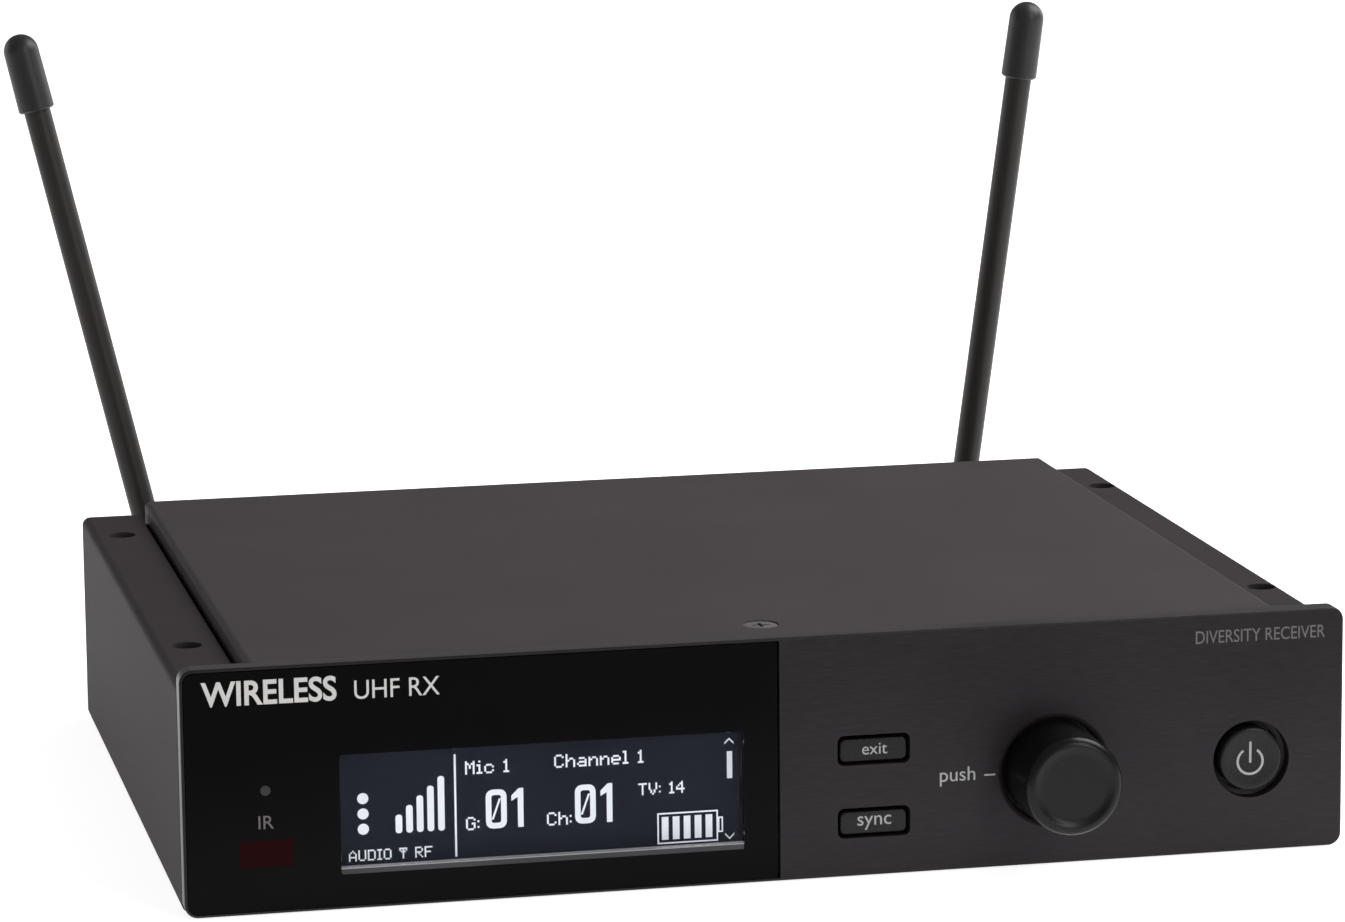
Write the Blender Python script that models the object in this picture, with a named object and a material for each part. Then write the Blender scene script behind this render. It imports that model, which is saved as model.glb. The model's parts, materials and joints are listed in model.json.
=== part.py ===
"""Half-rack wireless microphone receiver with two folding whip antennas.

Frame: +X to the right seen from the front, +Y to the back, +Z up.
Origin: centre of the housing's footprint, on the surface that the unit stands on.
Every piece is a closed body with a clearance of GAP to its neighbours.
"""

import math

import bmesh
import bpy
from mathutils import Matrix, Vector

MM = 0.001
GAP = 0.3 * MM  # clearance between pieces that touch on the real object

# Housing: a folded tray and the lid between its strips
HOUSING_WIDTH = 197.0 * MM
HOUSING_DEPTH = 150.0 * MM
STRIP_HEIGHT = 38.2 * MM
STRIP_WIDTH = 9.85 * MM
TOP_CENTRE_X = 0.9 * MM  # the lid, its screw and the strips' inner edges sit this far to the right
SHEET = 1.2 * MM
SIDE_BEND_RADIUS = 1.3 * MM
FRONT_WINDOW_LOW = (-92.0 * MM, 3.2 * MM)
FRONT_WINDOW_HIGH = (92.0 * MM, 35.5 * MM)
WINDOW_CORNER = 2.0 * MM
BRACKET_HOLE_RADIUS = 2.55 * MM
BRACKET_HOLE_X = 94.0 * MM
BRACKET_HOLE_Y = (-41.6 * MM, 56.2 * MM)
COVER_TAB_HALF_WIDTH = 8.0 * MM
COVER_TAB_LENGTH = 15.0 * MM
COVER_HALF_WIDTH = 87.55 * MM
COVER_HEIGHT = 40.65 * MM
COVER_SHEET = 1.1 * MM
COVER_SIDE_LOW = 36.9 * MM
COVER_LIP_LOW = 29.8 * MM
COVER_BEND_RADIUS = 1.6 * MM
LIP_RELIEF_X = 54.0 * MM

# Front panel
PANEL_HEIGHT = 41.3 * MM
PANEL_THICKNESS = 3.9 * MM
PANEL_CORNER_RADIUS = 2.2 * MM
LENS_RIM = 0.55 * MM
LENS_THICKNESS = 1.3 * MM
LENS_RIGHT_X = 0.2 * MM
LENS_SEAM = 0.6 * MM
LENS_SEAM_CORNER = 0.3 * MM
WINDOW_EDGE_RADIUS = 0.5 * MM
DISPLAY_LOW = (-72.7 * MM, 5.8 * MM)
DISPLAY_HIGH = (-5.3 * MM, 25.9 * MM)
LCD_LOW = (-75.0 * MM, 5.0 * MM)
LCD_HIGH = (-3.0 * MM, 28.0 * MM)
LCD_THICKNESS = 2.2 * MM
LCD_FRAME_WALL = 1.1 * MM
LCD_FRAME_SETBACK = 0.5 * MM
INFRARED_CENTRE = (-84.9 * MM, 10.2 * MM)
INFRARED_SIZE = (8.9 * MM, 4.5 * MM)
INFRARED_CORNER = 0.2 * MM
SENSOR_CENTRE = (-84.9 * MM, 20.7 * MM)
SENSOR_RADIUS = 0.8 * MM

# Buttons
BUTTON_X = 16.85 * MM
EXIT_Z = 21.5 * MM
SYNC_Z = 9.1 * MM
BUTTON_SIZE = (12.1 * MM, 4.8 * MM)
BUTTON_CORNER = 1.0 * MM
BUTTON_INSET = 0.3 * MM
BUTTON_EDGE_ROUND = 0.35 * MM
BUTTON_FLANGE = 1.0 * MM
BUTTON_FLANGE_RIM = (1.2 * MM, 1.1 * MM)
STUB_RADIUS = 1.5 * MM
POWER_CENTRE = (82.4 * MM, 15.9 * MM)
POWER_RADIUS = 5.45 * MM
POWER_RING_RADIUS = 6.65 * MM
POWER_DISH_DEPTH = 0.25 * MM
POWER_RIM = 0.4 * MM
RING_DEPTH = 2.4 * MM
SWITCH_HALF_WIDTH = 3.0 * MM
SWITCH_HEIGHT = 3.4 * MM
STUB_ENTRY = 0.6 * MM
WELL_DEPTH = 1.7 * MM

# Control knob and its push encoder
KNOB_CENTRE = (48.05 * MM, 16.0 * MM)
KNOB_RADIUS = 8.5 * MM
KNOB_FRONT_RADIUS = 8.35 * MM
KNOB_LENGTH = 12.5 * MM
KNOB_ENTRY = 0.7 * MM
KNOB_RIM = 1.45 * MM
KNOB_WALL = 1.5 * MM
KNOB_DISH_DEPTH = 0.45 * MM
KNOB_RING_RADIUS = 9.9 * MM
SHAFT_RADIUS = 3.0 * MM
SHAFT_TOP_WALL = 2.4 * MM
BUSH_RADIUS = 3.9 * MM
BUSH_STAND = 1.0 * MM
KNOB_HOLLOW = 1.0 * MM
NUT_RADIUS = 5.6 * MM
NUT_THICKNESS = 2.0 * MM
ENCODER_HALF_WIDTH = 6.5 * MM
ENCODER_SETBACK = 2.2 * MM
ENCODER_WALL = 1.4 * MM
CAVITY_RADIUS = 5.2 * MM
CAVITY_ROOM = 1.0 * MM
ROTOR_RADIUS = 4.8 * MM
ROTOR_THICKNESS = 1.5 * MM

# Boards
FRONT_BOARD_DEPTH = 11.0 * MM
BOARD_THICKNESS = 1.6 * MM
FRONT_BOARD_LOW = (-93.0 * MM, 4.0 * MM)
FRONT_BOARD_HIGH = (93.0 * MM, 35.0 * MM)
MAIN_BOARD_Z = 6.0 * MM
MAIN_BOARD_LOW = (-92.0 * MM, -55.0 * MM)
MAIN_BOARD_HIGH = (92.0 * MM, 43.0 * MM)
STANDOFF_X = 85.0 * MM
STANDOFF_Y = (-48.0 * MM, 36.0 * MM)
STANDOFF_RADIUS = 2.6 * MM
SHIELD_LOW = (-78.0 * MM, -30.0 * MM)
SHIELD_HIGH = (-14.0 * MM, 30.0 * MM)
SHIELD_HEIGHT = 7.0 * MM
SHIELD_WALL = 0.8 * MM
RIBBON_X = (10.0 * MM, 40.0 * MM)
RIBBON_THICKNESS = 0.6 * MM
RIBBON_BEND = 5.0 * MM
RIBBON_STRAIGHT = 3.0 * MM

# Rear connectors, seen from the front: the right antenna is at +X
REAR_PANEL_RECESS = 1.5 * MM
REAR_PANEL_THICKNESS = 1.3 * MM
REAR_SCREW_X = 62.0 * MM
REAR_SCREW_Z = 33.2 * MM
SCREW_RADIUS = 1.5 * MM
SCREW_LENGTH = 6.0 * MM
SCREW_HEAD_RADIUS = 2.9 * MM
SCREW_HEAD_HEIGHT = 1.6 * MM
SINK_SLOPE = 0.9 * MM
SINK_STRAIGHT = 0.15 * MM
SINK_DROP = 0.1 * MM
COVER_SCREW_SETBACK = 14.2 * MM
COVER_SCREW_LENGTH = 7.0 * MM
CROSS_ARM = 1.5 * MM
CROSS_HALF_WIDTH = 0.35 * MM
CROSS_DEPTH = 0.8 * MM
JACK_Z = 21.0 * MM
ANTENNA_X = {"left": -80.5 * MM, "right": 80.75 * MM}
JACK_BODY_RADIUS = 6.2 * MM
JACK_TAIL_RADIUS = 4.2 * MM
JACK_FLANGE_RADIUS = 7.6 * MM
JACK_FLANGE_THICKNESS = 1.6 * MM
JACK_NUT_RADIUS = 8.6 * MM
JACK_NUT_THICKNESS = 2.2 * MM
BARREL_RADIUS = 4.85 * MM
BARREL_BORE = 4.1 * MM
BARREL_LENGTH = 12.0 * MM
JACK_TAIL_LENGTH = 12.0 * MM
CONTACT_WELL = 8.5 * MM
CONTACT_INSET = 3.0 * MM
LUG_INSET = 4.5 * MM
LUG_RADIUS = 0.95 * MM
LUG_OUT = 5.6 * MM
CONTACT_RADIUS = 1.2 * MM
XLR_X = -8.0 * MM
XLR_Z = 20.0 * MM
XLR_BORE_RADIUS = 9.35 * MM
XLR_TUBE_RADIUS = 11.0 * MM
XLR_FLANGE = (26.0 * MM, 31.0 * MM)
XLR_FLANGE_THICKNESS = 1.5 * MM
XLR_DEPTH = 18.0 * MM
XLR_FLOOR_THICKNESS = 3.0 * MM
XLR_PIN_CIRCLE = 4.07 * MM
XLR_PIN_ANGLES = (152.0, 28.0, 270.0)
XLR_PIN_RADIUS = 1.2 * MM
XLR_PIN_LENGTH = 11.0 * MM
XLR_PIN_TAIL = 2.0 * MM
XLR_PIN_POINT = 1.0 * MM
XLR_SCREW = (9.5 * MM, 12.0 * MM)
PHONE_X = -42.0 * MM
PHONE_BODY = (15.0 * MM, 15.0 * MM)
PHONE_BODY_LENGTH = 26.0 * MM
PHONE_BORE_RADIUS = 3.25 * MM
PHONE_WELL_RADIUS = 4.6 * MM
PHONE_BUSH_RADIUS = 5.5 * MM
PHONE_BUSH_OUT = 2.0 * MM
PHONE_NUT_RADIUS = 8.0 * MM
PHONE_NUT_THICKNESS = 2.0 * MM
SOCKET_Z = 19.0 * MM
ETHERNET_X = 36.0 * MM
ETHERNET_SIZE = (16.0 * MM, 13.6 * MM)
ETHERNET_LENGTH = 15.0 * MM
ETHERNET_ROOM_DEPTH = 12.5 * MM
ETHERNET_HALF_OPENING = 5.9 * MM
ETHERNET_OPENING_Z = (-3.2 * MM, 3.8 * MM)
LATCH_HALF_WIDTH = 3.0 * MM
LATCH_LOW = -5.2 * MM
DC_X = 58.0 * MM
DC_SIZE = (9.0 * MM, 11.0 * MM)
DC_LENGTH = 14.0 * MM
DC_RECESS_DEPTH = 10.0 * MM
DC_RECESS_RADIUS = 3.0 * MM
DC_PIN_RADIUS = 1.0 * MM
DC_PIN_SETBACK = 1.5 * MM
SWITCH_X = 16.0 * MM
SWITCH_BODY = (11.0 * MM, 6.5 * MM)
SWITCH_BODY_DEPTH = 5.0 * MM
SWITCH_SLOT = (7.0 * MM, 3.2 * MM)
SWITCH_SLOT_WALL = 2.0 * MM
SLIDER_SIZE = (3.2 * MM, 2.4 * MM)
SLIDER_TRAVEL = 3.0 * MM

# Antennas, built upright in their own frame: the bayonet axis is Y and the rod stands along Z.
# Depths of the antenna are counted from the housing's rear plane, heights from the fold pivot.
ANTENNA_LEAN = {"left": -12.8, "right": 6.5}  # degrees from upright, towards +X
ANTENNA_TILT = {"left": 3.8, "right": -4.8}  # degrees from upright about the hinge pin, towards +Y
PIVOT_OUT = 34.6 * MM
SLEEVE_START = 5.0 * MM
SLEEVE_OUTER = 3.75 * MM
SLEEVE_INNER = 2.7 * MM
BASE_STEP_RADIUS = 5.2 * MM
BASE_RADIUS = 6.2 * MM
BASE_END = PIVOT_OUT - 9.0 * MM
CORE_START = 11.0 * MM
COLLAR_START = 2.6 * MM
COLLAR_END = 14.6 * MM
COLLAR_RADIUS = 7.2 * MM
COLLAR_BORE = 6.0 * MM
COLLAR_LIP_BORE = 5.5 * MM
HINGE_PIN_RADIUS = 1.6 * MM
TONGUE_WIDTH = 5.0 * MM
TONGUE_RADIUS = 4.6 * MM
FORK_WIDTH = 11.4 * MM
FORK_RIM = 0.4 * MM
FORK_ROOT = 2.0 * MM
NECK_RADIUS = 2.4 * MM
NECK_ROOT = 2.0 * MM
SHOULDER_RADIUS = 4.1 * MM
SHOULDER_LOW = 5.4 * MM
SHOULDER_HIGH = 7.8 * MM
SHOULDER_TAPER = 2.4 * MM
ROD_RADIUS = 2.55 * MM
SPIGOT_RADIUS = 1.6 * MM
SPIGOT_LENGTH = 7.0 * MM
CAP_RADIUS = 3.45 * MM
CAP_TOP_RADIUS = 3.35 * MM
CAP_LENGTH = 15.0 * MM
CAP_OVERLAP = 2.0 * MM
ANTENNA_HEIGHT = 107.0 * MM

SMALL_EDGE = 0.4 * MM
SMALL_STEPS = 16
ROUND_STEPS = 28
ROD_STEPS = 20
FINE_STEPS = 40

# Places worked out from the sizes above
FRONT = -HOUSING_DEPTH / 2
REAR = HOUSING_DEPTH / 2
REAR_FACE = REAR - REAR_PANEL_RECESS
REAR_INNER = REAR_FACE - REAR_PANEL_THICKNESS
PANEL_BACK = FRONT + PANEL_THICKNESS
FRONT_BOARD_Y = FRONT + FRONT_BOARD_DEPTH
FLANGE_INNER_LEFT = TOP_CENTRE_X - HOUSING_WIDTH / 2 + STRIP_WIDTH
FLANGE_INNER_RIGHT = TOP_CENTRE_X + HOUSING_WIDTH / 2 - STRIP_WIDTH
COVER_SCREW_Y = FRONT + COVER_SCREW_SETBACK
FLANGE_BACK = PANEL_BACK + GAP + BUTTON_FLANGE
SWITCH_FRONT = FRONT_BOARD_Y - GAP - SWITCH_HEIGHT
STUB_BACK = SWITCH_FRONT + STUB_ENTRY
NUT_BACK = FRONT + RING_DEPTH - GAP
NUT_FRONT = NUT_BACK - NUT_THICKNESS
BUSH_FRONT = NUT_FRONT - BUSH_STAND
SHAFT_FRONT = FRONT - KNOB_LENGTH + SHAFT_TOP_WALL
KNOB_BACK = FRONT + KNOB_ENTRY
ENCODER_FRONT = PANEL_BACK + ENCODER_SETBACK
ENCODER_BACK = FRONT_BOARD_Y - GAP
ROTOR_FRONT = ENCODER_FRONT + ENCODER_WALL
ROTOR_BACK = ROTOR_FRONT + ROTOR_THICKNESS
SHAFT_BACK = ROTOR_BACK + GAP
CAVITY_BACK = ROTOR_BACK + CAVITY_ROOM
CAP_LOW = ANTENNA_HEIGHT - CAP_LENGTH
SPIGOT_LOW = CAP_LOW + CAP_OVERLAP
SPIGOT_HIGH = SPIGOT_LOW + SPIGOT_LENGTH


# ---------------------------------------------------------------- mesh tools

PLACE = {
    "X": lambda a, b, along: (along, a, b),
    "Y": lambda a, b, along: (a, along, b),
    "Z": lambda a, b, along: (a, b, along),
}


def add_prism(mesh, outline, axis, start, end):
    """Extrude a closed outline, given in the two other axes in order, from start to end along axis."""
    place = PLACE[axis]
    base = mesh.faces.new([mesh.verts.new(place(a, b, start)) for a, b in outline])
    grown = bmesh.ops.extrude_face_region(mesh, geom=[base])
    moved = [item for item in grown["geom"] if isinstance(item, bmesh.types.BMVert)]
    bmesh.ops.translate(mesh, verts=moved, vec=Vector(place(0.0, 0.0, end - start)))


def add_box(mesh, low, high):
    outline = [(low[0], low[1]), (high[0], low[1]), (high[0], high[1]), (low[0], high[1])]
    add_prism(mesh, outline, "Z", low[2], high[2])


def arc(centre, radius, start, end, steps):
    """Points of an arc, both ends included; angles in degrees."""
    points = []
    for step in range(steps + 1):
        angle = math.radians(start + (end - start) * step / steps)
        points.append((centre[0] + radius * math.cos(angle), centre[1] + radius * math.sin(angle)))
    return points


def circle(centre, radius, steps=ROUND_STEPS):
    return arc(centre, radius, 0.0, 360.0, steps)[:-1]


def rounded_rectangle(low, high, radius, steps=4):
    corners = (
        ((low[0] + radius, low[1] + radius), 180.0),
        ((high[0] - radius, low[1] + radius), 270.0),
        ((high[0] - radius, high[1] - radius), 0.0),
        ((low[0] + radius, high[1] - radius), 90.0),
    )
    points = []
    for centre, start in corners:
        points += arc(centre, radius, start, start + 90.0, steps)
    return points


def centred(centre, size):
    """Low and high corners of a rectangle."""
    low = (centre[0] - size[0] / 2, centre[1] - size[1] / 2)
    high = (centre[0] + size[0] / 2, centre[1] + size[1] / 2)
    return low, high


def add_turned(mesh, profile, centre=(0.0, 0.0), steps=ROUND_STEPS):
    """Spin a profile of (radius, y) points about the Y axis through (x, z) = centre.

    A profile that starts and ends at radius 0 is closed by the axis, any other one is a closed ring.
    """
    first = len(mesh.verts)
    verts = [mesh.verts.new((centre[0] + radius, y, centre[1])) for radius, y in profile]
    edges = [mesh.edges.new(pair) for pair in zip(verts, verts[1:])]
    if profile[0][0] > 0.0:
        edges.append(mesh.edges.new((verts[-1], verts[0])))
    bmesh.ops.spin(
        mesh,
        geom=verts + edges,
        cent=(centre[0], 0.0, centre[1]),
        axis=(0.0, 1.0, 0.0),
        angle=2.0 * math.pi,
        steps=steps,
        use_merge=True,
    )
    mesh.verts.ensure_lookup_table()
    bmesh.ops.remove_doubles(mesh, verts=mesh.verts[first:], dist=0.000001)


def finish_mesh(mesh, name, smooth):
    bmesh.ops.recalc_face_normals(mesh, faces=mesh.faces)
    data = bpy.data.meshes.new(name)
    mesh.to_mesh(data)
    mesh.free()
    if smooth:
        data.shade_smooth()
        data.set_sharp_from_angle(angle=math.radians(32.0))
    return data


def add_part(name, mesh, material, origin=(0.0, 0.0, 0.0), smooth=True):
    """Turn a mesh, drawn in the frame of the object, into a named part whose own origin is at origin."""
    bmesh.ops.translate(mesh, verts=mesh.verts, vec=-Vector(origin))
    part = bpy.data.objects.new(name, finish_mesh(mesh, name, smooth))
    part.data.materials.append(material)
    part.location = origin
    bpy.context.scene.collection.objects.link(part)
    return part


def boolean(part, label, mesh, operation="DIFFERENCE"):
    """Cut a closed mesh, drawn in the frame of the object, out of a part, or join it to the part."""
    tool = bpy.data.objects.new(part.name + "_" + label, finish_mesh(mesh, label, False))
    tool.hide_render = True
    tool.display_type = "WIRE"
    bpy.context.scene.collection.objects.link(tool)
    step = part.modifiers.new(label, "BOOLEAN")
    step.operation = operation
    step.object = tool
    return tool


def round_edges(part, width, segments=2, angle=50.0):
    step = part.modifiers.new("edges", "BEVEL")
    step.width = width
    step.segments = segments
    step.limit_method = "ANGLE"
    step.angle_limit = math.radians(angle)


def finish(name, colour, roughness, metallic=0.0):
    material = bpy.data.materials.get(name)
    if material is None:
        material = bpy.data.materials.new(name)
        material.use_nodes = True
        shader = material.node_tree.nodes["Principled BSDF"]
        shader.inputs["Base Color"].default_value = (*colour, 1.0)
        shader.inputs["Roughness"].default_value = roughness
        shader.inputs["Metallic"].default_value = metallic
    return material


def powder_coat():
    return finish("powder_coat", (0.055, 0.05, 0.05), 0.6)


def anodised():
    return finish("anodised", (0.03, 0.029, 0.031), 0.45, 0.4)


def gloss_black():
    return finish("gloss_black", (0.005, 0.005, 0.006), 0.12)


def matte_black():
    return finish("matte_black", (0.02, 0.02, 0.02), 0.6)


def circuit_board():
    return finish("circuit_board", (0.02, 0.12, 0.05), 0.5)


def bright_metal():
    return finish("bright_metal", (0.62, 0.6, 0.56), 0.28, 1.0)


def black_steel():
    return finish("black_steel", (0.03, 0.03, 0.03), 0.4, 0.8)


# ---------------------------------------------------------------- housing

def make_chassis_tray():
    """Steel tray: floor, sides, strips bent inward on top, and a front wall with a window in it."""
    half = HOUSING_WIDTH / 2
    bend = SIDE_BEND_RADIUS
    section = [(-half, 0.0), (half, 0.0)]
    section += arc((half - bend, STRIP_HEIGHT - bend), bend, 0.0, 90.0, 5)
    section += arc((-half + bend, STRIP_HEIGHT - bend), bend, 90.0, 180.0, 5)
    front = PANEL_BACK + GAP
    mesh = bmesh.new()
    add_prism(mesh, section, "Y", front, REAR)
    tray = add_part("chassis_tray", mesh, powder_coat())

    inside = bmesh.new()
    under = STRIP_HEIGHT - SHEET
    add_box(inside, (-half + SHEET, front + SHEET, SHEET), (half - SHEET, REAR + SHEET, under))
    boolean(tray, "inside", inside)

    tab_end = front + SHEET + COVER_TAB_LENGTH
    tab_left = TOP_CENTRE_X - COVER_TAB_HALF_WIDTH
    tab_right = TOP_CENTRE_X + COVER_TAB_HALF_WIDTH
    slot = [
        (FLANGE_INNER_LEFT, front + SHEET),
        (tab_left, front + SHEET),
        (tab_left, tab_end),
        (tab_right, tab_end),
        (tab_right, front + SHEET),
        (FLANGE_INNER_RIGHT, front + SHEET),
        (FLANGE_INNER_RIGHT, REAR + SHEET),
        (FLANGE_INNER_LEFT, REAR + SHEET),
    ]
    top = bmesh.new()
    add_prism(top, slot, "Z", STRIP_HEIGHT - 2 * SHEET, STRIP_HEIGHT + SHEET)
    boolean(tray, "top_slot", top)

    window = bmesh.new()
    outline = rounded_rectangle(FRONT_WINDOW_LOW, FRONT_WINDOW_HIGH, WINDOW_CORNER)
    add_prism(window, outline, "Y", front - SHEET, front + 2 * SHEET)
    boolean(tray, "front_window", window)

    holes = bmesh.new()
    low, high = STRIP_HEIGHT - 2 * SHEET, STRIP_HEIGHT + SHEET
    for side in (-1.0, 1.0):
        for y in BRACKET_HOLE_Y:
            spot = (TOP_CENTRE_X + side * BRACKET_HOLE_X, y)
            add_prism(holes, circle(spot, BRACKET_HOLE_RADIUS, SMALL_STEPS), "Z", low, high)
    spot = (TOP_CENTRE_X, COVER_SCREW_Y)
    add_prism(holes, circle(spot, SCREW_RADIUS + GAP, SMALL_STEPS), "Z", low, high)
    boolean(tray, "holes", holes)


def make_top_cover():
    """Lid that stands proud of the strips, with a lip down over the rear panel."""
    left, right = TOP_CENTRE_X - COVER_HALF_WIDTH, TOP_CENTRE_X + COVER_HALF_WIDTH
    bend = COVER_BEND_RADIUS
    section = [(left, COVER_LIP_LOW), (right, COVER_LIP_LOW)]
    section += arc((right - bend, COVER_HEIGHT - bend), bend, 0.0, 90.0, 4)
    section += arc((left + bend, COVER_HEIGHT - bend), bend, 90.0, 180.0, 4)
    front = PANEL_BACK + 2 * GAP
    under = COVER_HEIGHT - COVER_SHEET
    lip = REAR - SHEET
    mesh = bmesh.new()
    add_prism(mesh, section, "Y", front, REAR)
    cover = add_part("top_cover", mesh, powder_coat())

    inside = bmesh.new()
    low = COVER_LIP_LOW - SHEET
    add_box(inside, (left + COVER_SHEET, front - SHEET, low), (right - COVER_SHEET, lip, under))
    boolean(cover, "inside", inside)

    step_back = PANEL_BACK + SHEET + 2 * GAP
    profile = [
        (front - SHEET, low),
        (lip, low),
        (lip, COVER_SIDE_LOW),
        (step_back, COVER_SIDE_LOW),
        (step_back, under),
        (front - SHEET, under),
    ]
    below = bmesh.new()
    add_prism(below, profile, "X", left - SHEET, right + SHEET)
    boolean(cover, "below", below)

    relief = bmesh.new()
    add_box(relief, (-LIP_RELIEF_X, lip - SHEET, low), (LIP_RELIEF_X, REAR + SHEET, COVER_SIDE_LOW))
    boolean(cover, "lip_relief", relief)

    holes = bmesh.new()
    head = SCREW_HEAD_RADIUS + GAP
    for side in (-1.0, 1.0):
        hole = circle((side * REAR_SCREW_X, REAR_SCREW_Z), SCREW_RADIUS + GAP, SMALL_STEPS)
        add_prism(holes, hole, "Y", lip - SHEET, REAR + SHEET)
    boolean(cover, "rear_holes", holes)

    sink = bmesh.new()
    profile = [
        (0.0, -SHEET),
        (head, -SHEET),
        (head, SINK_STRAIGHT),
        (head - SINK_SLOPE, SINK_STRAIGHT + SINK_SLOPE),
        (head - SINK_SLOPE, 2 * SHEET),
        (0.0, 2 * SHEET),
    ]
    add_turned(sink, profile, steps=SMALL_STEPS + 8)
    move_to_cover_screw(sink)
    boolean(cover, "countersink", sink)


def move_to_cover_screw(mesh):
    """Turn a shape drawn along +Y to point down into the lid at its front screw."""
    place = Matrix.Translation((TOP_CENTRE_X, COVER_SCREW_Y, COVER_HEIGHT))
    place @= Matrix.Rotation(-math.pi / 2, 4, "X")
    bmesh.ops.transform(mesh, matrix=place, verts=mesh.verts)


def make_rear_panel():
    half = HOUSING_WIDTH / 2 - SHEET - GAP
    back = REAR_FACE
    front = REAR_INNER
    top = STRIP_HEIGHT - SHEET - GAP
    mesh = bmesh.new()
    add_box(mesh, (-half, front, SHEET + GAP), (half, back, top))
    panel = add_part("rear_panel", mesh, powder_coat(), smooth=False)

    holes = bmesh.new()
    reach = (front - SHEET, back + SHEET)
    for x in ANTENNA_X.values():
        add_prism(holes, circle((x, JACK_Z), JACK_BODY_RADIUS + GAP), "Y", *reach)
    for side in (-1.0, 1.0):
        screw = circle((side * REAR_SCREW_X, REAR_SCREW_Z), SCREW_RADIUS + GAP, SMALL_STEPS)
        add_prism(holes, screw, "Y", *reach)
        corner = (XLR_X + side * XLR_SCREW[0], XLR_Z + side * XLR_SCREW[1])
        add_prism(holes, circle(corner, SCREW_RADIUS + GAP, SMALL_STEPS), "Y", *reach)
    add_prism(holes, circle((XLR_X, XLR_Z), XLR_TUBE_RADIUS + GAP), "Y", *reach)
    add_prism(holes, circle((PHONE_X, JACK_Z), PHONE_BUSH_RADIUS + GAP), "Y", *reach)
    for x, size in ((ETHERNET_X, ETHERNET_SIZE), (DC_X, DC_SIZE)):
        grown = (size[0] + 2 * GAP, size[1] + 2 * GAP)
        outline = rounded_rectangle(*centred((x, SOCKET_Z), grown), WINDOW_EDGE_RADIUS, 1)
        add_prism(holes, outline, "Y", *reach)
    slot = centred((SWITCH_X, JACK_Z), SWITCH_SLOT)
    add_prism(holes, rounded_rectangle(*slot, WINDOW_EDGE_RADIUS, 1), "Y", *reach)
    boolean(panel, "holes", holes)


# ---------------------------------------------------------------- front panel and display

def make_front_panel():
    half = HOUSING_WIDTH / 2
    mesh = bmesh.new()
    outline = rounded_rectangle((-half, 0.0), (half, PANEL_HEIGHT), PANEL_CORNER_RADIUS, 5)
    add_prism(mesh, outline, "Y", FRONT, PANEL_BACK)
    panel = add_part("front_panel", mesh, anodised())

    pocket = bmesh.new()
    low = (-half + LENS_RIM, LENS_RIM)
    high = (LENS_RIGHT_X + LENS_SEAM, PANEL_HEIGHT - LENS_RIM)
    add_prism(pocket, lens_outline(low, high), "Y", FRONT - SHEET, FRONT + LENS_THICKNESS + GAP)
    boolean(panel, "lens_pocket", pocket)

    holes = bmesh.new()
    reach = (FRONT + SHEET, PANEL_BACK + SHEET)
    add_prism(holes, rounded_rectangle(DISPLAY_LOW, DISPLAY_HIGH, WINDOW_EDGE_RADIUS, 2), "Y", *reach)
    size = (INFRARED_SIZE[0] + 2 * GAP, INFRARED_SIZE[1] + 2 * GAP)
    outline = rounded_rectangle(*centred(INFRARED_CENTRE, size), WINDOW_EDGE_RADIUS, 2)
    add_prism(holes, outline, "Y", *reach)
    add_prism(holes, circle(SENSOR_CENTRE, SENSOR_RADIUS + GAP, SMALL_STEPS), "Y", *reach)
    reach = (FRONT - SHEET, PANEL_BACK + SHEET)
    size = (BUTTON_SIZE[0] + 2 * GAP, BUTTON_SIZE[1] + 2 * GAP)
    for z in (EXIT_Z, SYNC_Z):
        outline = rounded_rectangle(*centred((BUTTON_X, z), size), BUTTON_CORNER + GAP)
        add_prism(holes, outline, "Y", *reach)
    boolean(panel, "holes", holes)

    rings = bmesh.new()
    add_turned(rings, stepped_hole(KNOB_RING_RADIUS, BUSH_RADIUS + GAP), KNOB_CENTRE, FINE_STEPS)
    add_turned(rings, stepped_hole(POWER_RING_RADIUS, POWER_RADIUS + GAP), POWER_CENTRE)
    boolean(panel, "round_holes", rings)


def stepped_hole(wide, narrow):
    """Cutter profile: a round recess in the panel's face with a smaller hole through its floor."""
    return [
        (0.0, FRONT - SHEET),
        (wide, FRONT - SHEET),
        (wide, FRONT + RING_DEPTH),
        (narrow, FRONT + RING_DEPTH),
        (narrow, PANEL_BACK + SHEET),
        (0.0, PANEL_BACK + SHEET),
    ]


def lens_outline(low, high):
    """Outline with the panel's round corners on the left and nearly square ones on the seam side."""
    round_corner = PANEL_CORNER_RADIUS - LENS_RIM
    square_corner = LENS_SEAM_CORNER
    points = arc((low[0] + round_corner, low[1] + round_corner), round_corner, 180.0, 270.0, 5)
    points += arc((high[0] - square_corner, low[1] + square_corner), square_corner, 270.0, 360.0, 1)
    points += arc((high[0] - square_corner, high[1] - square_corner), square_corner, 0.0, 90.0, 1)
    points += arc((low[0] + round_corner, high[1] - round_corner), round_corner, 90.0, 180.0, 5)
    return points


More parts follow.
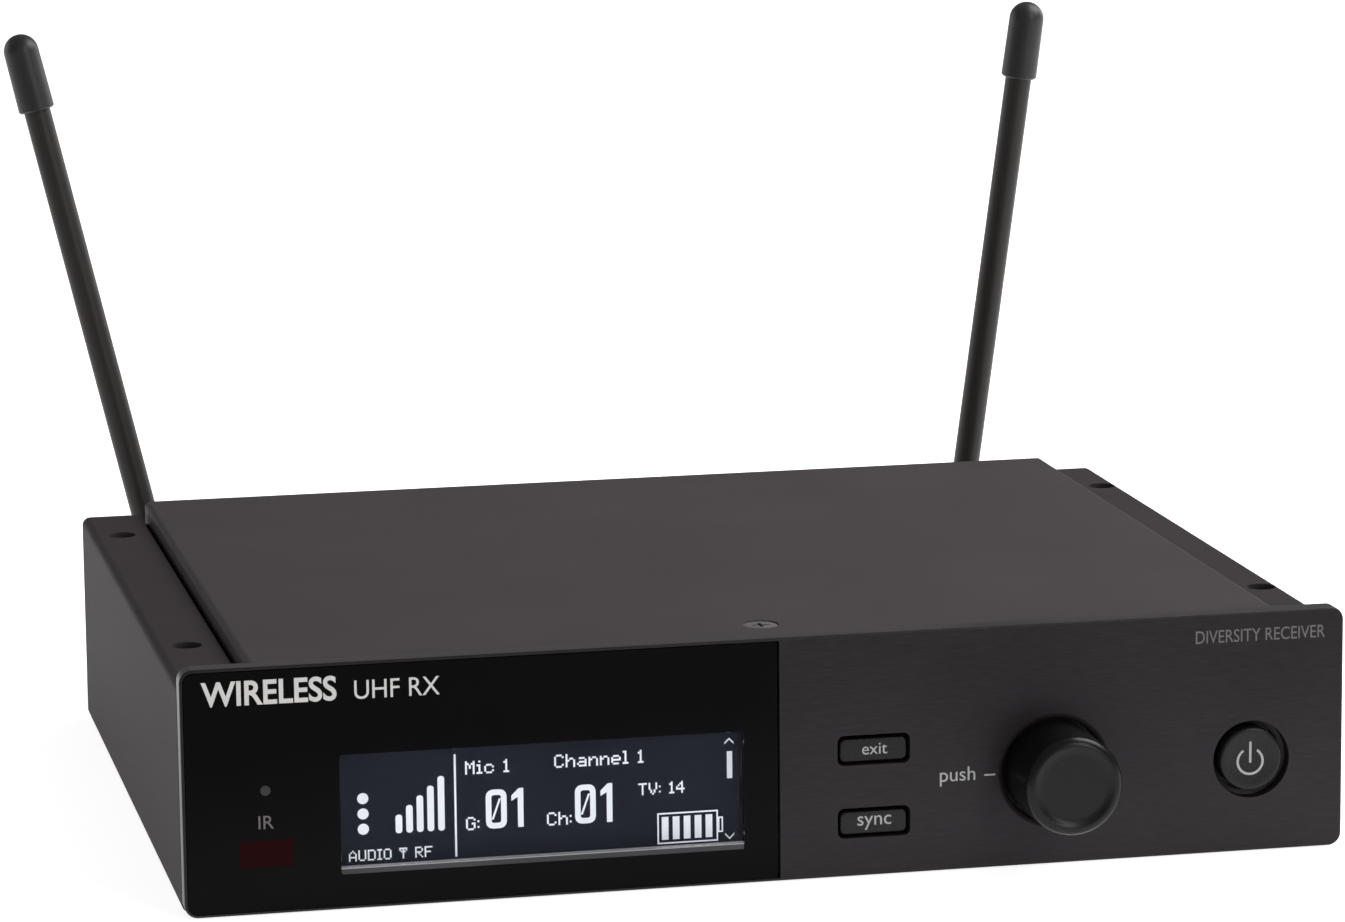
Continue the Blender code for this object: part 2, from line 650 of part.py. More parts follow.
def make_display():
    """Lens sheet, display module with its holder, infrared block and light guide."""
    half = HOUSING_WIDTH / 2
    inset = LENS_RIM + GAP
    lens = bmesh.new()
    outline = lens_outline((-half + inset, inset), (LENS_RIGHT_X, PANEL_HEIGHT - inset))
    add_prism(lens, outline, "Y", FRONT, FRONT + LENS_THICKNESS)
    add_part("display_window", lens, gloss_black(), smooth=False)

    front = PANEL_BACK + GAP
    back = front + LCD_THICKNESS
    glass = bmesh.new()
    add_box(glass, (LCD_LOW[0], front, LCD_LOW[1]), (LCD_HIGH[0], back, LCD_HIGH[1]))
    add_part("lcd_panel", glass, gloss_black(), smooth=False)
    make_lcd_frame(front, back)

    block = bmesh.new()
    start, end = FRONT + LENS_THICKNESS + GAP, FRONT_BOARD_Y - GAP
    outline = rounded_rectangle(*centred(INFRARED_CENTRE, INFRARED_SIZE), INFRARED_CORNER, 1)
    add_prism(block, outline, "Y", start, end)
    add_part("infrared_window", block, finish("infrared_red", (0.05, 0.004, 0.006), 0.2))

    guide = bmesh.new()
    add_prism(guide, circle(SENSOR_CENTRE, SENSOR_RADIUS, SMALL_STEPS), "Y", start, end)
    add_part("light_sensor", guide, finish("clear_guide", (0.2, 0.2, 0.2), 0.2))


def make_lcd_frame(front, back):
    """Tray that holds the display module from behind, open to the front."""
    edge = GAP + LCD_FRAME_WALL
    low = (LCD_LOW[0] - edge, front + LCD_FRAME_SETBACK, LCD_LOW[1] - edge)
    high = (LCD_HIGH[0] + edge, back + edge, LCD_HIGH[1] + edge)
    frame = bmesh.new()
    add_box(frame, low, high)
    holder = add_part("lcd_frame", frame, matte_black(), smooth=False)
    pocket = bmesh.new()
    low = (LCD_LOW[0] - GAP, front - SHEET, LCD_LOW[1] - GAP)
    high = (LCD_HIGH[0] + GAP, back + GAP, LCD_HIGH[1] + GAP)
    add_box(pocket, low, high)
    boolean(holder, "pocket", pocket)


# ---------------------------------------------------------------- controls

def add_stub(mesh, centre):
    """Round stub from a button's flange into the well of its switch."""
    outline = circle(centre, STUB_RADIUS, SMALL_STEPS)
    add_prism(mesh, outline, "Y", FLANGE_BACK - BUTTON_FLANGE / 2, STUB_BACK)


def make_button(name, centre):
    face = bmesh.new()
    outline = rounded_rectangle(*centred(centre, BUTTON_SIZE), BUTTON_CORNER)
    add_prism(face, outline, "Y", FRONT + BUTTON_INSET, FLANGE_BACK - BUTTON_FLANGE / 2)
    button = add_part(name, face, matte_black(), (centre[0], FRONT, centre[1]))
    round_edges(button, BUTTON_EDGE_ROUND)
    flange = bmesh.new()
    wide = (BUTTON_SIZE[0] + 2 * BUTTON_FLANGE_RIM[0], BUTTON_SIZE[1] + 2 * BUTTON_FLANGE_RIM[1])
    outline = rounded_rectangle(*centred(centre, wide), BUTTON_CORNER, 2)
    add_prism(flange, outline, "Y", PANEL_BACK + GAP, FLANGE_BACK)
    boolean(button, "flange", flange, "UNION")
    stub = bmesh.new()
    add_stub(stub, centre)
    boolean(button, "stub", stub, "UNION")


def make_power_button():
    """Round button with a slightly dished face, its flange behind the panel and its stub."""
    flange_radius = POWER_RADIUS + BUTTON_FLANGE_RIM[0]
    profile = [
        (0.0, FRONT + POWER_DISH_DEPTH),
        (POWER_RADIUS - 4 * POWER_RIM, FRONT + POWER_DISH_DEPTH / 2),
        (POWER_RADIUS - POWER_RIM, FRONT),
        (POWER_RADIUS - POWER_RIM / 4, FRONT + POWER_RIM / 4),
        (POWER_RADIUS, FRONT + POWER_RIM),
        (POWER_RADIUS, PANEL_BACK + GAP),
        (flange_radius, PANEL_BACK + GAP),
        (flange_radius, FLANGE_BACK),
        (STUB_RADIUS, FLANGE_BACK),
        (STUB_RADIUS, STUB_BACK),
        (0.0, STUB_BACK),
    ]
    mesh = bmesh.new()
    add_turned(mesh, profile, POWER_CENTRE, ROUND_STEPS)
    add_part("power_button", mesh, matte_black(), (POWER_CENTRE[0], FRONT, POWER_CENTRE[1]))


def make_switch(name, centre):
    """Tact switch on the front board, with the well that the button's stub presses into."""
    mesh = bmesh.new()
    size = (2 * SWITCH_HALF_WIDTH, 2 * SWITCH_HALF_WIDTH)
    outline = rounded_rectangle(*centred(centre, size), SMALL_EDGE, 1)
    add_prism(mesh, outline, "Y", SWITCH_FRONT, FRONT_BOARD_Y - GAP)
    switch = add_part(name, mesh, matte_black(), smooth=False)
    well = bmesh.new()
    hole = circle(centre, STUB_RADIUS + GAP, SMALL_STEPS)
    add_prism(well, hole, "Y", SWITCH_FRONT - SHEET, SWITCH_FRONT + WELL_DEPTH)
    boolean(switch, "well", well)


def make_knob():
    """Control knob: slightly tapered, round front rim, shallow dish, hollow under it for the nut."""
    front = FRONT - KNOB_LENGTH
    dish = KNOB_FRONT_RADIUS - KNOB_RIM
    slope = KNOB_RIM / 4
    profile = [(0.0, front + KNOB_DISH_DEPTH), (dish - 3 * slope, front + KNOB_DISH_DEPTH)]
    profile += [(dish - slope, front + KNOB_DISH_DEPTH * 2 / 3), (dish, front + slope / 6)]
    profile += arc((dish, front + KNOB_RIM), KNOB_RIM, 270.0, 360.0, 5)[1:]
    profile += [
        (KNOB_RADIUS, KNOB_BACK - GAP),
        (KNOB_RADIUS - GAP, KNOB_BACK),
        (KNOB_RADIUS - KNOB_WALL, KNOB_BACK),
        (KNOB_RADIUS - KNOB_WALL, BUSH_FRONT - KNOB_HOLLOW),
        (SHAFT_RADIUS + GAP, BUSH_FRONT - KNOB_HOLLOW),
        (SHAFT_RADIUS + GAP, SHAFT_FRONT - GAP),
        (0.0, SHAFT_FRONT - GAP),
    ]
    mesh = bmesh.new()
    add_turned(mesh, profile, KNOB_CENTRE, FINE_STEPS)
    add_part("control_knob", mesh, matte_black(), (KNOB_CENTRE[0], FRONT, KNOB_CENTRE[1]))


def make_encoder():
    """Push encoder: body with threaded bush, turning rotor in its cavity, shaft that slides in the rotor."""
    origin = (KNOB_CENTRE[0], FRONT, KNOB_CENTRE[1])
    body = bmesh.new()
    size = (2 * ENCODER_HALF_WIDTH, 2 * ENCODER_HALF_WIDTH)
    outline = rounded_rectangle(*centred(KNOB_CENTRE, size), SMALL_EDGE, 1)
    add_prism(body, outline, "Y", ENCODER_FRONT, ENCODER_BACK)
    encoder = add_part("encoder_body", body, bright_metal())
    bush = bmesh.new()
    add_prism(bush, circle(KNOB_CENTRE, BUSH_RADIUS), "Y", BUSH_FRONT, ENCODER_FRONT + ENCODER_WALL / 2)
    boolean(encoder, "bush", bush, "UNION")
    bore = bmesh.new()
    profile = [
        (0.0, BUSH_FRONT - SHEET),
        (SHAFT_RADIUS + GAP, BUSH_FRONT - SHEET),
        (SHAFT_RADIUS + GAP, ROTOR_FRONT - GAP),
        (CAVITY_RADIUS, ROTOR_FRONT - GAP),
        (CAVITY_RADIUS, CAVITY_BACK),
        (0.0, CAVITY_BACK),
    ]
    add_turned(bore, profile, KNOB_CENTRE)
    boolean(encoder, "bore", bore)

    rotor = bmesh.new()
    inner = SHAFT_RADIUS + GAP
    ring = [(inner, ROTOR_FRONT), (ROTOR_RADIUS, ROTOR_FRONT)]
    ring += [(ROTOR_RADIUS, ROTOR_BACK), (inner, ROTOR_BACK)]
    add_turned(rotor, ring, KNOB_CENTRE)
    add_part("encoder_rotor", rotor, matte_black(), origin)

    shaft = bmesh.new()
    add_prism(shaft, circle(KNOB_CENTRE, SHAFT_RADIUS, SMALL_STEPS), "Y", SHAFT_FRONT, SHAFT_BACK)
    add_part("encoder_shaft", shaft, bright_metal(), origin)
    make_hexagon_nut("encoder_nut", KNOB_CENTRE, NUT_RADIUS, BUSH_RADIUS + GAP, (NUT_FRONT, NUT_BACK))


def make_hexagon_nut(name, centre, radius, hole_radius, reach):
    """Hexagon nut along Y with a plain hole."""
    nut = bmesh.new()
    add_prism(nut, circle(centre, radius, 6), "Y", *reach)
    hexagon = add_part(name, nut, bright_metal(), smooth=False)
    hole = bmesh.new()
    add_prism(hole, circle(centre, hole_radius), "Y", reach[0] - SHEET, reach[1] + SHEET)
    boolean(hexagon, "hole", hole)


# ---------------------------------------------------------------- boards

def make_boards():
    """Front board behind the panel, main board on standoffs, shield can and the flat cable between them."""
    board = bmesh.new()
    low = (FRONT_BOARD_LOW[0], FRONT_BOARD_Y, FRONT_BOARD_LOW[1])
    high = (FRONT_BOARD_HIGH[0], FRONT_BOARD_Y + BOARD_THICKNESS, FRONT_BOARD_HIGH[1])
    add_box(board, low, high)
    add_part("front_board", board, circuit_board(), smooth=False)

    main_board = bmesh.new()
    top = MAIN_BOARD_Z + BOARD_THICKNESS
    add_box(main_board, (*MAIN_BOARD_LOW, MAIN_BOARD_Z), (*MAIN_BOARD_HIGH, top))
    add_part("main_board", main_board, circuit_board(), smooth=False)
    spots = [(x, y) for y in STANDOFF_Y for x in (-STANDOFF_X, STANDOFF_X)]
    for number, spot in enumerate(spots, 1):
        post = bmesh.new()
        add_prism(post, circle(spot, STANDOFF_RADIUS, 6), "Z", SHEET + GAP, MAIN_BOARD_Z - GAP)
        add_part(f"standoff_{number}", post, bright_metal(), smooth=False)

    can = bmesh.new()
    roof = top + SHIELD_HEIGHT
    wall = SHIELD_WALL
    add_box(can, (*SHIELD_LOW, top + GAP), (*SHIELD_HIGH, roof))
    shield = add_part("radio_shield", can, bright_metal(), smooth=False)
    room = bmesh.new()
    low = (SHIELD_LOW[0] + wall, SHIELD_LOW[1] + wall, top - wall)
    high = (SHIELD_HIGH[0] - wall, SHIELD_HIGH[1] - wall, roof - wall)
    add_box(room, low, high)
    boolean(shield, "room", room)
    make_ribbon(top)


def make_ribbon(board_top):
    """Flat cable from the back of the front board down onto the main board."""
    inner_bend = RIBBON_BEND - RIBBON_THICKNESS
    start = FRONT_BOARD_Y + BOARD_THICKNESS + GAP
    low = board_top + GAP
    middle = (start + RIBBON_STRAIGHT, low + RIBBON_STRAIGHT + RIBBON_BEND)
    outline = [(start, middle[1] + RIBBON_BEND)]
    outline += arc(middle, RIBBON_BEND, 90.0, 0.0, 5)
    outline += [(middle[0] + RIBBON_BEND, low), (middle[0] + inner_bend, low)]
    outline += arc(middle, inner_bend, 0.0, 90.0, 5)
    outline += [(start, middle[1] + inner_bend)]
    strip = bmesh.new()
    add_prism(strip, outline, "X", *RIBBON_X)
    add_part("ribbon_cable", strip, finish("ribbon_grey", (0.3, 0.3, 0.32), 0.6))


# ---------------------------------------------------------------- rear connectors

def make_antenna_jack(side, x):
    """Bulkhead bayonet jack: threaded body, round flange, barrel with two lugs and a contact tube."""
    centre = (x, JACK_Z)
    flange = REAR_FACE + GAP
    barrel_end = REAR + BARREL_LENGTH
    tail = REAR_FACE - JACK_TAIL_LENGTH
    contact_floor = barrel_end - CONTACT_WELL
    profile = [
        (0.0, tail),
        (JACK_TAIL_RADIUS, tail),
        (JACK_TAIL_RADIUS, tail / 2 + REAR_FACE / 2),
        (JACK_BODY_RADIUS, tail / 2 + REAR_FACE / 2),
        (JACK_BODY_RADIUS, flange),
        (JACK_FLANGE_RADIUS, flange),
        (JACK_FLANGE_RADIUS, flange + JACK_FLANGE_THICKNESS),
        (BARREL_RADIUS, flange + JACK_FLANGE_THICKNESS),
        (BARREL_RADIUS, barrel_end),
        (BARREL_BORE, barrel_end),
        (BARREL_BORE, contact_floor),
        (CONTACT_RADIUS, contact_floor),
        (CONTACT_RADIUS, barrel_end - CONTACT_INSET),
        (0.0, barrel_end - CONTACT_INSET),
    ]
    mesh = bmesh.new()
    add_turned(mesh, profile, centre)
    jack = add_part("antenna_jack_" + side, mesh, bright_metal())
    lugs = bmesh.new()
    lug = circle((barrel_end - LUG_INSET, JACK_Z), LUG_RADIUS, SMALL_STEPS)
    for end in (-1.0, 1.0):
        inner, outer = sorted((x + end * (BARREL_BORE + GAP), x + end * LUG_OUT))
        add_prism(lugs, lug, "X", inner, outer)
    boolean(jack, "lugs", lugs, "UNION")

    nut_back = REAR_INNER - GAP
    reach = (nut_back - JACK_NUT_THICKNESS, nut_back)
    make_hexagon_nut("antenna_nut_" + side, centre, JACK_NUT_RADIUS, JACK_BODY_RADIUS + GAP, reach)


def make_xlr():
    """Male three-pin output: flange with its tube, insulating insert and three pins."""
    centre = (XLR_X, XLR_Z)
    face = REAR_FACE + GAP
    mouth = face + XLR_FLANGE_THICKNESS
    deep = REAR - XLR_DEPTH
    floor = deep + XLR_FLOOR_THICKNESS
    flange = bmesh.new()
    outline = rounded_rectangle(*centred(centre, XLR_FLANGE), XLR_FLANGE_THICKNESS, 3)
    add_prism(flange, outline, "Y", face, mouth)
    shell = add_part("xlr_shell", flange, black_steel())
    tube = bmesh.new()
    add_prism(tube, circle(centre, XLR_TUBE_RADIUS), "Y", deep, face + XLR_FLANGE_THICKNESS / 3)
    boolean(shell, "tube", tube, "UNION")
    holes = bmesh.new()
    add_prism(holes, circle(centre, XLR_BORE_RADIUS), "Y", deep - SHEET, mouth + SHEET)
    for side, name in ((-1.0, "lower"), (1.0, "upper")):
        corner = (XLR_X + side * XLR_SCREW[0], XLR_Z + side * XLR_SCREW[1])
        hole = circle(corner, SCREW_RADIUS + GAP, SMALL_STEPS)
        add_prism(holes, hole, "Y", face - SHEET, mouth + SHEET)
        make_pan_screw("xlr_screw_" + name, corner, mouth)
    boolean(shell, "holes", holes)

    insert = bmesh.new()
    add_prism(insert, circle(centre, XLR_BORE_RADIUS - GAP), "Y", deep, floor)
    base = add_part("xlr_insert", insert, matte_black())
    sockets = bmesh.new()
    for number, angle in enumerate(XLR_PIN_ANGLES, 1):
        turn = math.radians(angle)
        spot = (XLR_X + XLR_PIN_CIRCLE * math.cos(turn), XLR_Z + XLR_PIN_CIRCLE * math.sin(turn))
        socket = circle(spot, XLR_PIN_RADIUS + GAP, SMALL_STEPS)
        add_prism(sockets, socket, "Y", deep - SHEET, floor + SHEET)
        make_xlr_pin(number, spot, deep, floor + XLR_PIN_LENGTH)
    boolean(base, "sockets", sockets)


def make_xlr_pin(number, spot, deep, tip):
    """Contact pin with a tapered tip and a tail behind the insert."""
    tail = deep - XLR_PIN_TAIL
    profile = [
        (0.0, tail),
        (XLR_PIN_RADIUS, tail),
        (XLR_PIN_RADIUS, tip - XLR_PIN_POINT),
        (XLR_PIN_RADIUS / 2, tip),
        (0.0, tip),
    ]
    pin = bmesh.new()
    add_turned(pin, profile, spot, SMALL_STEPS)
    add_part(f"xlr_pin_{number}", pin, bright_metal())


def make_pan_screw(name, centre, seat):
    """Pan-head screw whose head stands on the surface at y = seat."""
    start = seat + GAP
    profile = [
        (0.0, seat - SCREW_LENGTH),
        (SCREW_RADIUS, seat - SCREW_LENGTH),
        (SCREW_RADIUS, start),
        (SCREW_HEAD_RADIUS, start),
        (SCREW_HEAD_RADIUS, start + SCREW_HEAD_HEIGHT / 2),
        (SCREW_HEAD_RADIUS * 3 / 4, start + SCREW_HEAD_HEIGHT),
        (0.0, start + SCREW_HEAD_HEIGHT),
    ]
    mesh = bmesh.new()
    add_turned(mesh, profile, centre, SMALL_STEPS)
    add_part(name, mesh, black_steel())


def make_phone_jack():
    """Quarter-inch output: body inside the housing, threaded bush through the rear panel, nut outside."""
    centre = (PHONE_X, JACK_Z)
    body_back = REAR_INNER - GAP
    body_front = body_back - PHONE_BODY_LENGTH
    bush_end = REAR + PHONE_BUSH_OUT
    body = bmesh.new()
    low, high = centred(centre, PHONE_BODY)
    add_box(body, (low[0], body_front, low[1]), (high[0], body_back, high[1]))
    jack = add_part("phone_jack", body, matte_black(), smooth=False)
    well = bmesh.new()
    outline = circle(centre, PHONE_WELL_RADIUS, SMALL_STEPS)
    add_prism(well, outline, "Y", body_front + SHEET, body_back + SHEET)
    boolean(jack, "well", well)

    bush = bmesh.new()
    add_prism(bush, circle(centre, PHONE_BUSH_RADIUS), "Y", body_back + GAP, bush_end)
    sleeve = add_part("phone_jack_bush", bush, bright_metal())
    bore = bmesh.new()
    add_prism(bore, circle(centre, PHONE_BORE_RADIUS, SMALL_STEPS), "Y", body_back, bush_end + SHEET)
    boolean(sleeve, "bore", bore)
    start = REAR_FACE + GAP
    reach = (start, start + PHONE_NUT_THICKNESS)
    make_hexagon_nut("phone_jack_nut", centre, PHONE_NUT_RADIUS, PHONE_BUSH_RADIUS + GAP, reach)


def make_ethernet_jack():
    """Shielded modular socket with a slot for the plug's latch under its room."""
    x, z = ETHERNET_X, SOCKET_Z
    face = REAR - GAP
    body = bmesh.new()
    low, high = centred((x, z), ETHERNET_SIZE)
    add_box(body, (low[0], face - ETHERNET_LENGTH, low[1]), (high[0], face, high[1]))
    jack = add_part("ethernet_jack", body, bright_metal(), smooth=False)
    half = ETHERNET_HALF_OPENING
    floor, ceiling = z + ETHERNET_OPENING_Z[0], z + ETHERNET_OPENING_Z[1]
    opening = [
        (x - half, ceiling),
        (x - half, floor),
        (x - LATCH_HALF_WIDTH, floor),
        (x - LATCH_HALF_WIDTH, z + LATCH_LOW),
        (x + LATCH_HALF_WIDTH, z + LATCH_LOW),
        (x + LATCH_HALF_WIDTH, floor),
        (x + half, floor),
        (x + half, ceiling),
    ]
    room = bmesh.new()
    add_prism(room, opening, "Y", face - ETHERNET_ROOM_DEPTH, face + SHEET)
    boolean(jack, "room", room)


def make_dc_jack():
    """Power inlet: block with a ring-shaped recess, which leaves the centre pin standing."""
    centre = (DC_X, SOCKET_Z)
    face = REAR - GAP
    body = bmesh.new()
    low, high = centred(centre, DC_SIZE)
    add_box(body, (low[0], face - DC_LENGTH, low[1]), (high[0], face, high[1]))
    jack = add_part("dc_jack", body, matte_black(), smooth=False)
    recess = bmesh.new()
    profile = [
        (0.0, face - DC_PIN_SETBACK),
        (DC_PIN_RADIUS, face - DC_PIN_SETBACK),
        (DC_PIN_RADIUS, face - DC_RECESS_DEPTH),
        (DC_RECESS_RADIUS, face - DC_RECESS_DEPTH),
        (DC_RECESS_RADIUS, face + SHEET),
        (0.0, face + SHEET),
    ]
    add_turned(recess, profile, centre, SMALL_STEPS)
    boolean(jack, "recess", recess)


def make_level_switch():
    """Microphone or line level switch: body behind the rear panel and the slider in its slot."""
    centre = (SWITCH_X, JACK_Z)
    back = REAR_INNER - GAP
    front = back - SWITCH_BODY_DEPTH
    slot_front = front + SWITCH_SLOT_WALL
    body = bmesh.new()
    low, high = centred(centre, SWITCH_BODY)
    add_box(body, (low[0], front, low[1]), (high[0], back, high[1]))
    switch = add_part("level_switch_body", body, bright_metal(), smooth=False)
    slot = bmesh.new()
    low, high = centred(centre, SWITCH_SLOT)
    add_box(slot, (low[0], slot_front, low[1]), (high[0], back + SHEET, high[1]))
    boolean(switch, "slot", slot)
    slider = bmesh.new()
    middle = (SWITCH_X - SLIDER_TRAVEL / 2, JACK_Z)
    low, high = centred(middle, SLIDER_SIZE)
    add_box(slider, (low[0], slot_front + GAP, low[1]), (high[0], REAR - GAP, high[1]))
    add_part("level_switch_slider", slider, matte_black(), (middle[0], back, middle[1]), smooth=False)


def make_cover_screws():
    """Two pan-head screws through the rear lip and one countersunk cross-head screw in the lid."""
    for side, name in ((-1.0, "left"), (1.0, "right")):
        make_pan_screw(f"cover_screw_rear_{name}", (side * REAR_SCREW_X, REAR_SCREW_Z), REAR)
    head = SCREW_HEAD_RADIUS
    shoulder = SINK_DROP + SINK_STRAIGHT
    profile = [
        (0.0, SINK_DROP),
        (head, SINK_DROP),
        (head, shoulder),
        (head - SINK_SLOPE, shoulder + SINK_SLOPE),
        (SCREW_RADIUS, shoulder + SINK_SLOPE + GAP),
        (SCREW_RADIUS, COVER_SCREW_LENGTH),
        (0.0, COVER_SCREW_LENGTH),
    ]
    mesh = bmesh.new()
    add_turned(mesh, profile, steps=SMALL_STEPS + 8)
    move_to_cover_screw(mesh)
    screw = add_part("cover_screw_front", mesh, black_steel())
    arm, width = CROSS_ARM, CROSS_HALF_WIDTH
    corner = [(width, width), (width, arm), (-width, arm), (-width, width)]
    outline = []
    for quarter in range(4):
        turn = Matrix.Rotation(quarter * math.pi / 2, 2)
        for point in corner[:3]:
            spot = turn @ Vector(point)
            outline.append((TOP_CENTRE_X + spot.x, COVER_SCREW_Y + spot.y))
    cross = bmesh.new()
    add_prism(cross, outline, "Z", COVER_HEIGHT - CROSS_DEPTH, COVER_HEIGHT + CROSS_DEPTH)
    boolean(screw, "cross", cross)


# ---------------------------------------------------------------- antennas

def add_turned_upright(mesh, profile, steps):
    """Spin a profile of (radius, z) points about Z."""
    add_turned(mesh, profile, steps=steps)
    bmesh.ops.transform(mesh, matrix=Matrix.Rotation(math.pi / 2, 4, "X"), verts=mesh.verts)


def child_part(name, mesh, material, parent):
    part = add_part(name, mesh, material)
    part.parent = parent
    return part


def child_boolean(part, label, mesh, operation="DIFFERENCE"):
    tool = boolean(part, label, mesh, operation)
    tool.parent = part.parent
    return tool


def add_empty(name, location, rotation=(0.0, 0.0, 0.0), parent=None):
    empty = bpy.data.objects.new(name, None)
    empty.location = location
    empty.rotation_euler = rotation
    empty.parent = parent
    bpy.context.scene.collection.objects.link(empty)
    return empty


def make_antenna(side, x):
    """One whip antenna in its swivel's frame, whose origin is on the jack's axis at the rear plane."""
    lean = math.radians(ANTENNA_LEAN[side])
    swivel = add_empty("antenna_swivel_" + side, (x, REAR, JACK_Z), (0.0, lean, 0.0))
    tilt = math.radians(ANTENNA_TILT[side])
    fold = add_empty("antenna_fold_" + side, (0.0, PIVOT_OUT, 0.0), (-tilt, 0.0, 0.0), swivel)
    make_antenna_base(side, swivel)
    make_collar(side, swivel)
    pin = bmesh.new()
    pin_half = FORK_WIDTH / 2 - GAP
    add_prism(pin, circle((PIVOT_OUT, 0.0), HINGE_PIN_RADIUS, SMALL_STEPS), "X", -pin_half, pin_half)
    child_part("antenna_pin_" + side, pin, bright_metal(), swivel)
    make_rod(side, fold)
    make_cap(side, fold)


def make_antenna_base(side, swivel):
    """Plug sleeve, round body and fork; a step in the sleeve keeps the collar on."""
    step = BARREL_LENGTH + SMALL_EDGE
    profile = [
        (SLEEVE_INNER, SLEEVE_START),
        (SLEEVE_OUTER, SLEEVE_START),
        (SLEEVE_OUTER, step),
        (BASE_STEP_RADIUS, step),
        (BASE_STEP_RADIUS, COLLAR_END + GAP),
        (BASE_RADIUS, COLLAR_END + 2 * GAP),
        (BASE_RADIUS, BASE_END - 2 * GAP),
        (BASE_RADIUS - 2 * GAP, BASE_END),
        (SLEEVE_INNER, BASE_END),
    ]
    plug = bmesh.new()
    add_turned(plug, profile)
    base = child_part("antenna_base_" + side, plug, matte_black(), swivel)
    core = bmesh.new()
    core_disc = circle((0.0, 0.0), SLEEVE_INNER + SMALL_EDGE, SMALL_STEPS)
    add_prism(core, core_disc, "Y", CORE_START, BASE_END - GAP)
    child_boolean(base, "core", core, "UNION")
    fork = bmesh.new()
    half = FORK_WIDTH / 2
    reach = TONGUE_RADIUS + FORK_RIM
    root = BASE_END - FORK_ROOT
    outline = [(root, -reach)] + arc((PIVOT_OUT, 0.0), reach, 270.0, 450.0, 10) + [(root, reach)]
    add_prism(fork, outline, "X", -half, half)
    child_boolean(base, "fork", fork, "UNION")
    slot = bmesh.new()
    slot_half = TONGUE_WIDTH / 2 + GAP
    low = (-slot_half, PIVOT_OUT - TONGUE_RADIUS - FORK_RIM, -2 * reach)
    high = (slot_half, PIVOT_OUT + 2 * reach, 2 * reach)
    add_box(slot, low, high)
    child_boolean(base, "slot", slot)
    bore = bmesh.new()
    hole = circle((PIVOT_OUT, 0.0), HINGE_PIN_RADIUS + GAP, SMALL_STEPS)
    add_prism(bore, hole, "X", -half - SHEET, half + SHEET)
    child_boolean(base, "bore", bore)


def make_collar(side, swivel):
    """Bayonet collar with an inward lip behind the jack's barrel."""
    lip = BARREL_LENGTH + 3 * GAP
    ring = [
        (COLLAR_BORE, COLLAR_START),
        (COLLAR_RADIUS - GAP, COLLAR_START),
        (COLLAR_RADIUS, COLLAR_START + SMALL_EDGE),
        (COLLAR_RADIUS, COLLAR_END - 2 * GAP),
        (COLLAR_RADIUS - SMALL_EDGE, COLLAR_END),
        (COLLAR_LIP_BORE, COLLAR_END),
        (COLLAR_LIP_BORE, lip),
        (COLLAR_BORE, lip),
    ]
    collar = bmesh.new()
    add_turned(collar, ring)
    child_part("antenna_collar_" + side, collar, bright_metal(), swivel)


def make_rod(side, fold):
    """Rod with its shoulder and its tongue; the frame's origin is the fold pivot."""
    neck_low = SHOULDER_LOW - NECK_ROOT
    profile = [
        (0.0, neck_low),
        (NECK_RADIUS, neck_low),
        (NECK_RADIUS, SHOULDER_LOW),
        (SHOULDER_RADIUS, SHOULDER_LOW + 2 * SMALL_EDGE),
        (SHOULDER_RADIUS, SHOULDER_HIGH),
        (ROD_RADIUS, SHOULDER_HIGH + SHOULDER_TAPER),
        (ROD_RADIUS, SPIGOT_LOW),
        (SPIGOT_RADIUS, SPIGOT_LOW),
        (SPIGOT_RADIUS, SPIGOT_HIGH),
        (0.0, SPIGOT_HIGH),
    ]
    whip = bmesh.new()
    add_turned_upright(whip, profile, ROD_STEPS)
    rod = child_part("antenna_rod_" + side, whip, matte_black(), fold)
    tongue = bmesh.new()
    half = TONGUE_WIDTH / 2
    add_prism(tongue, circle((0.0, 0.0), TONGUE_RADIUS, ROD_STEPS), "X", -half, half)
    child_boolean(rod, "tongue", tongue, "UNION")
    bore = bmesh.new()
    add_prism(bore, circle((0.0, 0.0), HINGE_PIN_RADIUS + GAP, SMALL_STEPS), "X", -2 * half, 2 * half)
    child_boolean(rod, "bore", bore)


def make_cap(side, fold):
    """Soft end cap over the rod's spigot, with a round top."""
    inner = SPIGOT_RADIUS + GAP
    wide = ROD_RADIUS + GAP
    top = CAP_TOP_RADIUS
    profile = [
        (0.0, SPIGOT_HIGH + GAP),
        (inner, SPIGOT_HIGH + GAP),
        (inner, SPIGOT_LOW + GAP),
        (wide, SPIGOT_LOW + GAP),
        (wide, CAP_LOW),
        (CAP_RADIUS - SMALL_EDGE, CAP_LOW),
        (CAP_RADIUS, CAP_LOW + SMALL_EDGE),
    ]
    profile += arc((0.0, ANTENNA_HEIGHT - top), top, 0.0, 90.0, 5)[:-1]
    profile.append((0.0, ANTENNA_HEIGHT))
    cap = bmesh.new()
    add_turned_upright(cap, profile, ROD_STEPS)
    child_part("antenna_cap_" + side, cap, matte_black(), fold)


def main():
    for item in list(bpy.data.objects):
        bpy.data.objects.remove(item, do_unlink=True)
    make_chassis_tray()
    make_top_cover()
    make_rear_panel()
    make_front_panel()
    make_display()
    make_button("exit_button", (BUTTON_X, EXIT_Z))
    make_button("sync_button", (BUTTON_X, SYNC_Z))
    make_power_button()
    make_switch("exit_switch", (BUTTON_X, EXIT_Z))
    make_switch("sync_switch", (BUTTON_X, SYNC_Z))
    make_switch("power_switch", POWER_CENTRE)
    make_knob()
    make_encoder()
    make_boards()
    make_xlr()
    make_phone_jack()
    make_ethernet_jack()
    make_dc_jack()
    make_level_switch()
    make_cover_screws()
    for side, x in ANTENNA_X.items():
        make_antenna_jack(side, x)
        make_antenna(side, x)


main()
